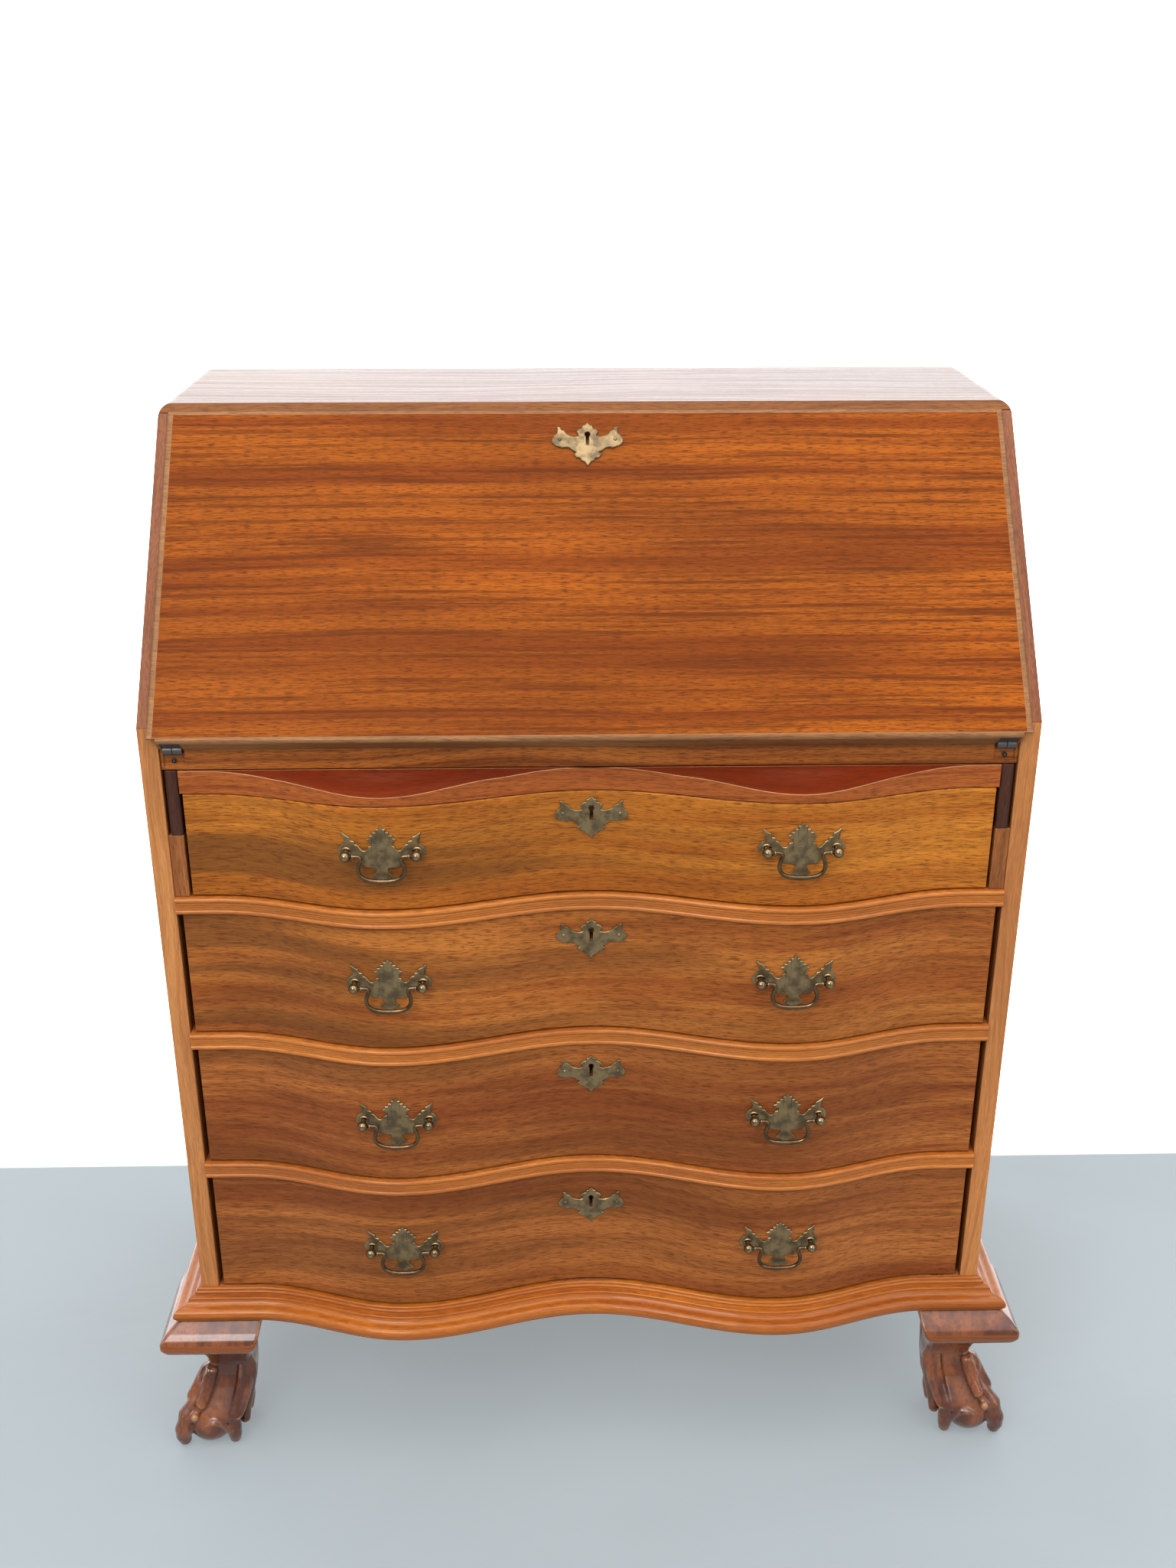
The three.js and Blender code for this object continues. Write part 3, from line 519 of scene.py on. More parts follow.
def spunAround(bm, profile, centre, axis, steps=24):
    # spins a profile of (radius, along) about an axis through centre
    side = Vector((0, 0, 1)) if abs(axis.z) < 0.5 else Vector((1, 0, 0))
    verts = [bm.verts.new(centre + side * radius + axis * along) for radius, along in profile]
    edges = [bm.edges.new(pair) for pair in zip(verts, verts[1:])]
    made = bmesh.ops.spin(
        bm, geom=verts + edges, cent=centre, axis=axis, angle=2 * math.pi, steps=steps, use_merge=True
    )
    return made


def objectOf(bm, name="scrap"):
    mesh = bpy.data.meshes.new(name)
    bm.to_mesh(mesh)
    bm.free()
    scrap = bpy.data.objects.new(name, mesh)
    bpy.context.scene.collection.objects.link(scrap)
    return scrap


def carved(bm, tool, mode="DIFFERENCE"):
    bmesh.ops.recalc_face_normals(bm, faces=bm.faces)
    bmesh.ops.recalc_face_normals(tool, faces=tool.faces)
    body, cutter = objectOf(bm), objectOf(tool)
    cut = body.modifiers.new("cut", "BOOLEAN")
    cut.operation, cut.solver, cut.object = mode, "EXACT", cutter
    result = bmesh.new()
    result.from_object(body, bpy.context.evaluated_depsgraph_get())
    for scrap in (body, cutter):
        bpy.data.objects.remove(scrap)
    return result


# Case boards

slant = math.radians(50.2)  # closed lid, from horizontal
joint = 0.3 * mm  # gap between pieces that touch
hingeLine = jointAt("lid_hinge")
lidThickness = hingeLine.z - lowOf("writing_bed").z
lidLength = (highOf("lid_panel").z - hingeLine.z - lidThickness * math.cos(slant)) / math.sin(slant)


def onSlant(along, out):
    # [y, z] of a point up the slant from the hinge line and out from the lid's inner face
    y = hingeLine.y + along * math.cos(slant) - out * math.sin(slant)
    z = hingeLine.z + along * math.sin(slant) + out * math.cos(slant)
    return y, z


board = {"ease": 1.2 * mm, "innerEase": 0.6 * mm}


def makeSideBoards():
    for side in sides:
        node = f"side_panel_{side}"
        bm = softenedCopy(node, board["ease"], 3)
        bm.normal_update()
        for face in bm.faces:
            slanted = face.normal.y < -0.3 and face.normal.z > 0.3
            face.material_index = 1 if slanted else 2 if abs(face.normal.x) > 0.9 else 0
        finishPiece(f"side_board_{side}", bm, "stile", "case", [node],
                    extra=["edge", "side"])


def makePlainBoards():
    plain = [
        ("back_panel", "back_board", "bare", "inner_wood"),
        ("bottom_board", "floor_board", "inside", "inner_wood"),
        ("writing_bed", "writing_board", "inside", "mahogany"),
        ("hinge_rail", "hinge_rail_wood", "hingeRail", "mahogany"),
    ]
    for node, name, finish, slot in plain:
        finishPiece(name, softenedCopy(node, board["innerEase"]), finish, "case", [node])
    for side in sides:
        node = f"loper_runner_{side}"
        bm = softenedCopy(node, board["innerEase"])
        finishPiece(f"runner_strip_{side}", bm, "filler", "case", [node])
        node = f"loper_{side}"
        bm = softenedCopy(node, board["innerEase"], 3)
        finishPiece(f"loper_arm_{side}", bm, "dark", node, [node])


topBoard = {"strip": 0.6 * mm, "round": 12 * mm, "seat": 4.3 * mm, "ease": 0.8 * mm}


def makeTop():
    low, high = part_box("top_board")
    start = lidLength + topBoard["strip"]
    seat = lidThickness - topBoard["seat"]
    nose = onSlant(start, seat)
    under = (nose[0] + (nose[1] - low.z) * math.tan(slant), low.z)
    lip = (nose[0] + (high.z - nose[1]) / math.tan(slant), high.z)
    section = [under, (high.y, low.z), (high.y, high.z), lip, nose]
    bm = prism(section, "X", -2 * caseHalf, 2 * caseHalf)
    radius = topBoard["round"]
    ends = [(-caseHalf, low.z), (caseHalf, low.z)]
    ends += arc(caseHalf - radius, high.z - radius, radius, 0, 90, 8)
    ends += arc(radius - caseHalf, high.z - radius, radius, 90, 180, 8)
    bm = carved(bm, prism(ends, "Y", low.y - 0.1, high.y + 0.1), "INTERSECT")
    softenEdges(bm, topBoard["ease"], 3, least=30)
    bm.normal_update()
    for face in bm.faces:
        face.material_index = 1 if face.normal.y < -0.5 else 0
    finishPiece("top_wood", bm, "top", "case", ["top_board"], extra=["topEdge"])


makeSideBoards()
makePlainBoards()
makeTop()
print("case boards made")


# Lid: its face stands a little above a rounded rim, and its side rims lie over the case

lidEdge = {
    "lip": 4.0 * mm,
    "lipStart": 4.5 * mm,  # the lip stops short of the lower edge, to clear the sides when open
    "trim": 0.1 * mm,  # taken off each end of that lower edge
    "sideRim": 5.2 * mm,
    "sideRound": 2.8 * mm,
    "topRim": 3.4 * mm,
    "bottomRim": 4.4 * mm,
    "bottomRound": 3.8 * mm,
    "step": 0.9 * mm,
    "slope": 0.7 * mm,
    "pocketDepth": 2.2 * mm,
    "pocketHeight": 16.4 * mm,
    "pocketRound": 4.9 * mm,
}


def lidPlace():
    return Matrix.Translation(hingeLine) @ Matrix.Rotation(slant, 4, "X")


def keyholeOutline(x, z, grow=0.0):
    # a round with a slot below it
    halfSlot, radius, slot = 1.7 * mm + grow, 2.9 * mm + grow, 11.4 * mm + grow
    start = math.degrees(math.acos(halfSlot / radius))
    points = [(x - halfSlot, z - slot), (x + halfSlot, z - slot)]
    return points + arc(x, z, radius, -start, 180 + start, 20)


def makeLid():
    half, slabHalf = highOf("lid_panel").x, highOf("hinge_rail").x
    edge, thick = lidEdge, lidThickness
    rimTop = thick - edge["step"]
    round1 = arc(edge["bottomRound"], rimTop - edge["bottomRound"], edge["bottomRound"], 180, 90, 10)
    fieldLow, fieldHigh = edge["bottomRim"], lidLength - edge["topRim"]
    slope = edge["slope"]
    lengthwise = [(0, 0), *round1, (fieldLow, rimTop), (fieldLow + slope, thick)]
    lengthwise += [(fieldHigh - slope, thick), (fieldHigh, rimTop)]
    lengthwise += arc(lidLength - 1.6 * mm, rimTop - 1.6 * mm, 1.6 * mm, 90, 0, 5)
    lengthwise += [(lidLength, 0)]
    bm = prism(lengthwise, "X", -half - 0.01, half + 0.01)

    rim = edge["sideRound"]
    right = [(slabHalf, 0), (slabHalf, thick - edge["lip"]), (half, thick - edge["lip"])]
    right += arc(half - rim, rimTop - rim, rim, 0, 90, 8)
    fieldSide = half - edge["sideRim"]
    right += [(fieldSide, rimTop), (fieldSide - slope, thick)]
    outline = right + [(-x, z) for x, z in reversed(right)]
    bm = carved(bm, prism(outline, "Y", -0.01, lidLength + 0.01), "INTERSECT")

    for direction in sides.values():
        x0, x1 = sorted((direction * (slabHalf - edge["trim"]), direction * (half + 0.01)))
        corner = bmesh.new()
        addBoard(corner, (x0, -0.02, 0), (x1, edge["lipStart"], 2 * thick), 0)
        bm = carved(bm, corner)
        x0, x1 = sorted((direction * lowOf("hinge_right").x, direction * highOf("hinge_right").x))
        x0, x1 = x0 - 0.4 * mm, x1 + 0.4 * mm
        pocket = bmesh.new()
        addBoard(pocket, (x0, -0.01, -0.01), (x1, edge["pocketDepth"], edge["pocketHeight"]), 0)
        bm = carved(bm, pocket)
        barrel = bmesh.new()
        profile = [(0, x0), (edge["pocketRound"], x0), (edge["pocketRound"], x1), (0, x1)]
        spunAround(barrel, profile, Vector((0, 0, 0)), Vector((1, 0, 0)), 20)
        bm = carved(bm, barrel)
    for face in bm.faces:
        place = face.calc_center_median()
        onField = abs(place.x) < fieldSide and fieldLow < place.y < fieldHigh
        # index 2 is a painted highlight on the steps between the rim and the raised field
        steps = place.z > rimTop + 0.05 * mm and not (onField and abs(face.normal.z) > 0.99)
        if place.z > thick / 4:
            face.material_index = 2 if steps else 0 if onField else 1
    keyAlong = lidLength - plates["lidKeyDrop"]
    bm = carved(bm, prism(keyholeOutline(0, keyAlong), "Z", -0.01, 2 * thick))
    bmesh.ops.transform(bm, matrix=lidPlace(), verts=bm.verts)
    finishPiece("lid_wood", bm, "lid", "lid", ["lid_panel"], smoothAngle=30,
                extra=["lidRim", "highlightEdge"])


# Brass plates. Outlines are the right half, from the top down, in mm from the plate's own middle.

pullHalf = [
    (0, 27), (2.2, 23.5), (4.2, 23.8), (4.6, 20.5), (7.2, 20.6), (7.6, 17.4), (10.4, 17.2), (10.6, 14.6),
    (13.4, 13.4), (11.2, 10.6), (8.6, 9.6), (9.2, 7.2), (11.8, 6.2), (13.2, 3.2), (14.8, 2), (17.2, 2.2),
    (19.4, 4.6), (21.4, 7.6), (23.6, 8), (24.4, 11), (27.4, 11.6), (28.4, 15), (31.6, 16.4), (35.6, 19.6),
    (35.2, 16), (32.8, 12.6), (33.4, 8.4), (37, 6), (39.6, 1.5), (39.4, -3), (36, -6.4), (31, -7),
    (26.5, -5.6), (21, -5.2), (18, -7), (18, -11), (15.6, -14.2), (9.6, -15), (5.2, -15.6), (5, -18.4),
    (9.8, -24), (5, -26), (0, -29),
]
keyHalf = [
    (0, 12.5), (2.4, 9.8), (4.4, 9.4), (5.4, 6.4), (8, 5.6), (10.4, 3), (8.8, 0.2), (8.5, -1.5), (11, -2.4),
    (14, -2), (17.6, -0.8), (20, 0.8), (21.6, 3.6), (24.6, 5), (25.6, 7.6), (28.8, 8.6), (28.2, 5),
    (28.6, 1.4), (31.6, -1.6), (33.5, -5), (33.2, -8.6), (30.4, -11.4), (26.8, -12.8), (24, -13.8),
    (20.6, -13.2), (17, -14), (14.2, -16.6), (10.7, -18.6), (13, -20.6), (10.9, -24.2), (7.2, -24.6),
    (5.6, -27.4), (3, -28.4), (0, -33),
]
plates = {
    "thickness": 1.7 * mm,
    "chamfer": 0.55 * mm,
    "drawerKeyScale": 0.93,
    "lidKeyDrop": 27.3 * mm,
    "keyTop": 12.5 * mm,
    "bend": 4 * mm,  # spacing of the folds that let a plate follow the front
    "pin": (26.2 * mm, -5.0 * mm),
    "pinRadius": 1.9 * mm,
    "postHalf": 32 * mm,
}


def mirrored(half, scale=1.0):
    right = [(x * mm, z * mm * scale) for x, z in half]
    return right + [(-x, z) for x, z in reversed(right[1:-1])]


def flatPlate(outline, middle, folds):
    # stands at y = 0 facing -Y, its raised face edged with a chamfer of the second material
    bm = bmesh.new()
    bm.faces.new([bm.verts.new((middle + x, 0, z)) for x, z in outline])
    count = int(max(x for x, z in outline) / folds)
    for i in range(-count, count + 1):
        everything = bm.verts[:] + bm.edges[:] + bm.faces[:]
        place = (middle + i * folds, 0, 0)
        bmesh.ops.bisect_plane(bm, geom=everything, plane_co=place, plane_no=(1, 0, 0), dist=1e-6)
    made = bmesh.ops.extrude_face_region(bm, geom=bm.faces[:])["geom"]
    raised = [item for item in made if isinstance(item, bmesh.types.BMVert)]
    bmesh.ops.translate(bm, vec=(0, -plates["thickness"], 0), verts=raised)
    faces = [item for item in made if isinstance(item, bmesh.types.BMFace)]
    ring = bmesh.ops.inset_region(
        bm, faces=faces, thickness=plates["chamfer"], depth=0, use_even_offset=True, use_boundary=True
    )["faces"]
    inner = {vert for face in faces if face.is_valid for vert in face.verts}
    rim = {vert for face in ring for vert in face.verts} - inner
    bmesh.ops.translate(bm, vec=(0, plates["chamfer"], 0), verts=list(rim))
    for face in ring:
        face.material_index = 1
    return bm


def dome(bm, centre, radius, axis=None, height=0.7):
    axis = axis or Vector((0, -1, 0))
    rise = [(radius * math.cos(math.radians(a)), radius * height * math.sin(math.radians(a)))
            for a in range(0, 91, 15)]
    profile = [(0, -2 * radius), (radius, -2 * radius), *rise[:-1], (0, radius * height)]
    return spunAround(bm, profile, centre, axis, 16)


def bendToFront(bm, gap):
    for vert in bm.verts:
        vert.co.y += serpentine(vert.co.x) - gap


def keyZOf(name):
    return highOf(name + "_keyplate").z - plates["keyTop"] * plates["drawerKeyScale"]


def makeKeyplate(name):
    keyZ = keyZOf(name)
    scale = plates["drawerKeyScale"]
    bm = flatPlate(mirrored(keyHalf, scale), 0, plates["bend"])
    bmesh.ops.translate(bm, vec=(0, 0, keyZ), verts=bm.verts)
    bm = carved(bm, prism(keyholeOutline(0, keyZ), "Y", -0.1, 0.1))
    bendToFront(bm, joint)
    pinX, pinZ = plates["pin"]
    for direction in sides.values():
        x = direction * pinX
        place = Vector((x, serpentine(x) - joint - plates["thickness"], keyZ + pinZ * scale))
        dome(bm, place, plates["pinRadius"])
    finishPiece(name + "_key_plate", bm, "brass", name, [name + "_keyplate"],
                extra=["rubbedBrass"])


def makeLidKeyplate():
    bm = flatPlate(mirrored(keyHalf), 0, 1)
    bm = carved(bm, prism(keyholeOutline(0, 0), "Y", -0.1, 0.1))
    pinX, pinZ = plates["pin"]
    for direction in sides.values():
        dome(bm, Vector((direction * pinX, -plates["thickness"], pinZ)), plates["pinRadius"])
    # from facing -Y to lying on the lid
    place = lidPlace() @ Matrix.Translation((0, lidLength - plates["lidKeyDrop"], lidThickness + joint))
    bmesh.ops.transform(bm, matrix=place @ Matrix.Rotation(math.radians(-90), 4, "X"), verts=bm.verts)
    finishPiece("lid_key_plate", bm, "brass", "lid", ["lid_keyplate"],
                extra=["rubbedBrass"])


post = {"ball": 5.0 * mm, "neck": 2.5 * mm, "collar": 4.4 * mm, "foot": 5.0 * mm}


def addPost(bm, x, place):
    # ball, neck and collar, turned about Y; the profile runs from the plate forward
    reach = serpentine(x) - joint - place.y
    ball, neck = post["ball"], post["neck"]
    meet = math.degrees(math.asin(neck / ball))
    profile = [(0, reach + 0.8 * mm), (post["foot"], reach + 0.8 * mm), (post["foot"], reach - 2.2 * mm)]
    profile += [(post["collar"], reach - 3 * mm), (neck, reach - 3.4 * mm)]
    profile += [(ball * math.sin(math.radians(a)), ball * math.cos(math.radians(a)))
                for a in [meet + (180 - meet) * i / 12 for i in range(12)]]
    profile += [(0, -ball)]
    spunAround(bm, profile, Vector((x, place.y, place.z)), Vector((0, 1, 0)), 24)


def makePull(name, side):
    node = f"{name}_pull_plate_{side}"
    pivot = jointAt(f"{name}_bail_{side}_swing")
    bm = flatPlate(mirrored(pullHalf), pivot.x, plates["bend"])
    bmesh.ops.translate(bm, vec=(0, 0, pivot.z), verts=bm.verts)
    bendToFront(bm, joint)
    plateFaces = set(bm.faces)
    for direction in sides.values():
        addPost(bm, pivot.x + direction * plates["postHalf"], pivot)
    for face in set(bm.faces) - plateFaces:
        face.material_index = 2
    finishPiece(f"{name}_batwing_{side}", bm, "brass", name, [node],
                extra=["rubbedBrass", "knob"])


bail = {
    "wire": 1.9 * mm,
    "pin": 1.4 * mm,
    "collar": 2.5 * mm,
    # right half of the centre line from the middle of the grip to the post, in mm
    "path": [(0, -25.0), (8, -24.6), (14.5, -23), (19, -19.4), (20.8, -14), (19.8, -8), (18.3, -3.4),
             (19.4, -0.8), (22.5, 0), (26, 0)],
}


def makeBail(name, side):
    node = f"{name}_bail_{side}"
    pivot = jointAt(node + "_swing")
    right = bail["path"]
    points = [(-x, z) for x, z in reversed(right[1:])] + right
    curveData = bpy.data.curves.new(node, "CURVE")
    curveData.dimensions = "3D"
    curveData.bevel_depth, curveData.bevel_resolution = bail["wire"], 4
    curveData.resolution_u, curveData.use_fill_caps = 6, True
    spline = curveData.splines.new("BEZIER")
    spline.bezier_points.add(len(points) - 1)
    for knot, (x, z) in zip(spline.bezier_points, points):
        knot.co = (pivot.x + x * mm, pivot.y, pivot.z + z * mm)
        knot.handle_left_type = knot.handle_right_type = "AUTO"
        knot.radius = 1.12 if abs(x) < 15 else 1.0
    wire = bpy.data.objects.new(node + "_wire", curveData)
    bpy.context.scene.collection.objects.link(wire)
    bm = bmesh.new()
    bm.from_mesh(bpy.data.meshes.new_from_object(wire.evaluated_get(bpy.context.evaluated_depsgraph_get())))
    bpy.data.objects.remove(wire)
    for direction in sides.values():
        start, end, pin, collar = 24.6 * mm, 27.4 * mm, bail["pin"], bail["collar"]
        profile = [(0, start), (1.9 * mm, start), (collar, start + 0.5 * mm), (collar, start + 1.2 * mm)]
        profile += [(1.6 * mm, end - 0.9 * mm), (pin, end), (pin, 30.2 * mm), (0, 30.2 * mm)]
        spunAround(bm, profile, pivot, Vector((direction, 0, 0)), 16)
    finishPiece(f"{name}_handle_{side}", bm, "bronze", node, [node], smoothAngle=60)


# Drawers

drawer = {
    "ease": 1.4 * mm,
    "wall": 12 * mm,
    "floor": 9 * mm,
    "lock": (30 * mm, 11 * mm, 31 * mm),  # half width, depth and height of a lock
    "nut": 4.6 * mm,
}


def makeDrawerFace(name, finish):
    low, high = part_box(name + "_front")
    ease = drawer["ease"]
    section = [(high.y, low.z), (front + ease, low.z)]
    section += arc(front + ease, low.z + ease, ease, 270, 180, 4)[1:]
    section += arc(front + ease, high.z - ease, ease, 180, 90, 4)
    section += [(high.y, high.z)]
    bm = sweptAlongX(section, low.x, high.x, curve["steps"])
    for vert in bm.verts:
        if vert.co.y < front + 3 * ease:
            vert.co.y += serpentine(vert.co.x) - front
    ends = [edge for edge in bm.edges if all(abs(vert.co.x) > high.x - 0.01 * mm for vert in edge.verts)]
    softenEdges(bm, 0.8 * mm, 2, least=60, edges=ends)
    bm = carved(bm, prism(keyholeOutline(0, keyZOf(name)), "Y", front - 0.1, high.y - 6 * mm))
    finishPiece(name + "_face", bm, finish, name, [name + "_front"])


def makeTray(name):
    low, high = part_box(name + "_box")
    wall, floor = drawer["wall"], drawer["floor"]
    bm = bmesh.new()
    addBoard(bm, low, (low.x + wall, high.y, high.z))
    addBoard(bm, (high.x - wall, low.y, low.z), high)
    addBoard(bm, (low.x + wall, low.y, low.z), (high.x - wall, low.y + wall, high.z))
    addBoard(bm, (low.x + wall, high.y - wall, low.z + floor), (high.x - wall, high.y, high.z))
    addBoard(bm, (low.x + wall, low.y + wall, low.z + 0.2 * mm), (high.x - wall, high.y, low.z + floor))
    finishPiece(name + "_tray", bm, "bare", name, [name + "_box"])


def makeDovetails(name):
    # half-blind tails of the tray's sides let into the ends of the drawer face
    low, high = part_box(name + "_box")
    faceHigh = highOf(name + "_front")
    bm = bmesh.new()
    pitch = 27 * mm
    count = int((high.z - low.z) / pitch)
    for direction in sides.values():
        x0, x1 = sorted((direction * (faceHigh.x - 3 * mm), direction * (faceHigh.x + 0.06 * mm)))
        for i in range(count):
            z = (low.z + high.z) / 2 + (i - (count - 1) / 2) * pitch
            tail = [(faceHigh.y + joint, z - 7 * mm), (faceHigh.y - 15 * mm, z - 10.5 * mm),
                    (faceHigh.y - 15 * mm, z + 10.5 * mm), (faceHigh.y + joint, z + 7 * mm)]
            addPrism(bm, tail, "X", x0, x1)
    finishPiece(name + "_dovetails", bm, "bare", name)


def makeLock(name):
    # box lock let into the drawer face: body behind the keyhole, plate and bolt on the upper edge
    high = highOf(name + "_front")
    half, depth, height = drawer["lock"]
    keyZ = keyZOf(name)
    inner = high.y - depth
    bm = bmesh.new()
    addBoard(bm, (-half, inner, high.z - height), (half, high.y + 0.1 * mm, high.z - 1 * mm), 0.4 * mm)
    addBoard(bm, (-half, inner, high.z - 1.5 * mm), (half, high.y + 0.1 * mm, high.z + 0.12 * mm), 0.1 * mm)
    addBoard(bm, (-7 * mm, inner + 3 * mm, high.z - 1 * mm), (7 * mm, high.y - 3 * mm, high.z + 0.4 * mm),
             0.2 * mm)
    pin = [(0, 0), (1.1 * mm, 0), (1.1 * mm, 7 * mm), (0.6 * mm, 7.6 * mm), (0, 7.6 * mm)]
    spunAround(bm, pin, Vector((0, inner + 0.5 * mm, keyZ)), Vector((0, -1, 0)), 12)
    for x in (-half + 6 * mm, half - 6 * mm):
        dome(bm, Vector((x, (inner + high.y) / 2, high.z + 0.1 * mm)), 1.7 * mm, Vector((0, 0, 1)), 0.15)
    finishPiece(name + "_lock", bm, "rubbedBrass", name)


def addNut(bm, place, radius):
    # six-sided nut, washer and bolt end, facing +Y
    made = bmesh.ops.create_cone(
        bm, cap_ends=True, segments=6, radius1=radius, radius2=radius, depth=3.2 * mm
    )["verts"]
    turn = Matrix.Translation(place + Vector((0, 2.6 * mm, 0))) @ Matrix.Rotation(math.radians(90), 4, "X")
    bmesh.ops.transform(bm, matrix=turn, verts=made)
    washer = [(0, 0), (6 * mm, 0), (6 * mm, 0.8 * mm), (5.8 * mm, 1 * mm), (0, 1 * mm)]
    spunAround(bm, washer, place, Vector((0, 1, 0)), 20)
    bolt = [(0, 0), (2 * mm, 0), (2 * mm, 6 * mm), (1.5 * mm, 6.8 * mm), (0, 6.8 * mm)]
    spunAround(bm, bolt, place, Vector((0, 1, 0)), 12)


def makeNuts(name):
    tray = lowOf(name + "_box").y + drawer["wall"]
    bm = bmesh.new()
    for side in sides:
        pivot = jointAt(f"{name}_bail_{side}_swing")
        for direction in sides.values():
            addNut(bm, Vector((pivot.x + direction * plates["postHalf"], tray, pivot.z)), drawer["nut"])
    finishPiece(name + "_post_nuts", bm, "steel", name)


makeLid()
makeLidKeyplate()
for name in drawerNames:
    makeDrawerFace(name, name)
    makeTray(name)
    makeDovetails(name)
    makeLock(name)
    makeNuts(name)
    makeKeyplate(name)
    for side in sides:
        makePull(name, side)
        makeBail(name, side)
print("lid and drawers made")


# Curved rails between the drawers: a bead along each edge and grooves in the band between them

rail = {
    "proud": 5.0,
    "bead": 2.4,
    "band": 3.9,
    "groove": 0.7,
    "grooves": (7.5, 9.5),
    "width": 55.0,
    "height": 17.0,
}


def railSection(bottom):
    # [y, z] in metres, y measured from the drawer fronts
    proud, bead, high = rail["proud"], rail["bead"], rail["height"]
    lowBead, topBead = bead + 0.1, high - bead - 0.1
    points = [(rail["width"], 0), (bead - proud, 0)]
    points += arc(bead - proud, lowBead, bead, -90, -235, 8)
    points += [(0.6 - rail["band"], 4.9), (-rail["band"], 5.4)]
    for z in rail["grooves"]:
        points += [(-rail["band"], z - 0.35), (rail["groove"] - rail["band"], z), (-rail["band"], z + 0.35)]
    points += [(-rail["band"], 11.6), (0.6 - rail["band"], 12.1)]
    points += arc(bead - proud, topBead, bead, -125, -270, 8)
    points += [(bead - proud, high), (rail["width"], high)]
    return [(front + y * mm, bottom + z * mm) for y, z in points]


def followFront(bm, least):
    # moves what lies in front of the sides' front edges by the curve
    for vert in bm.verts:
        if vert.co.y < front + least:
            vert.co.y += serpentine(vert.co.x) - front


def makeRails():
    for index in range(1, 4):
        node = f"drawer_rail_{index}"
        low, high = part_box(node)
        bottom = high.z - rail["height"] * mm
        bm = sweptAlongX(railSection(bottom), low.x, high.x, curve["steps"])
        followFront(bm, 1 * mm)
        addBoard(bm, (low.x, front + rail["width"] * mm, high.z - 9 * mm), high, 0.5 * mm)
        finishPiece(f"curved_rail_{index}", bm, "rail", "case", [node], smoothAngle=32)


# Apron above the top drawer, hollowed over each bulge for the fingers

apron = {
    "hollow": 11.0 * mm,  # depth of a finger hollow
    "ledge": 3.4 * mm,  # the rest of the ledge falls this much towards the front
    "reach": 108 * mm,  # half the width of a hollow
    "back": 2.5 * mm,  # the straight line where the ledge begins, behind the sides' front edges
    "rows": 9,
    "edge": 0.55 * mm,
    "line": 1.1 * mm,  # painted highlight line along the back of the ledge
}


def apronDrop(x):
    away = abs(abs(x) - curve["crest"])
    out = max(0.0, (front - serpentine(x)) / curve["bulge"])
    hollow = math.cos(math.pi / 2 * min(1.0, away / apron["reach"])) ** 2
    return apron["hollow"] * hollow + apron["ledge"] * min(1.0, 3 * out) * (1 - 0.3 * hollow)


def makeApron():
    low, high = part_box("apron_rail")
    rows = apron["rows"]
    # rows of the section stand a millimetre apart until each is put in place
    section = [(front + (rows + 4) * mm, low.z), (front, low.z)]
    section += [(front + i * mm, high.z) for i in range(rows + 4)]
    section[-1] = (front + (rows + 4) * mm, high.z)
    bm = sweptAlongX(section, low.x, high.x, curve["steps"])
    for vert in bm.verts:
        x = vert.co.x
        row = round((vert.co.y - front) / mm)
        face, start = serpentine(x), front + apron["back"]
        drop = apronDrop(x)
        edge = apron["edge"]
        if row > rows + 2:
            vert.co.y = high.y
        elif vert.co.z < low.z + 1 * mm:
            vert.co.y = face
        elif row == 0:
            vert.co.y, vert.co.z = face, high.z - drop - edge
        elif row == 1:
            vert.co.y, vert.co.z = face + 0.3 * edge, high.z - drop - 0.3 * edge
        else:
            share = min(1.0, (row - 2) / (rows - 1))
            nearEdge = face + edge
            end = start - apron["line"]
            vert.co.y = nearEdge + (end - nearEdge) * share if row < rows + 2 else start
            vert.co.z = high.z - drop * (1 - share ** 2.2)
    bmesh.ops.recalc_face_normals(bm, faces=bm.faces)
    # painted highlight: faces along the hollow's front edge and in the line at the back of the ledge take the
    # pale edge colour (index 2)
    pale = front + apron["back"] - apron["line"]
    for face in bm.faces:
        place = face.calc_center_median()
        nearFront = place.y < serpentine(place.x) + apron["edge"]
        if nearFront and face.normal.y < -0.2 and face.normal.z > 0.2:
            face.material_index = 2
        elif face.normal.z > 0.3:
            face.material_index = 2 if pale < place.y < front + apron["back"] else 1
    finishPiece("apron_wood", bm, "apron", "case", ["apron_rail"], smoothAngle=40,
                extra=["hollow", "highlightEdge"])


makeRails()
makeApron()
print("rails made")


# Base moulding, the same section along the front and both sides

def baseSection():
    # (out from the case, up from the underside) in mm
    points = [(0, 0), (22.6, 0), (23.6, 0.6)]
    points += arc(19.6, 6.6, 6.3, -50, 105, 14)
    points += [(16.4, 12.6), (14.6, 13.2), (13.0, 14.4), (12.0, 15.9)]
    points += arc(9.9, 17.6, 1.6, -20, 90, 5)
    points += [(6.6, 19.3), (5.8, 19.6)]
    points += arc(4.0, 21.2, 1.8, -35, 70, 5)
    points += arc(1.9, 23.8, 1.8, -20, 90, 5)
    points += [(0, 25.7)]
    return points


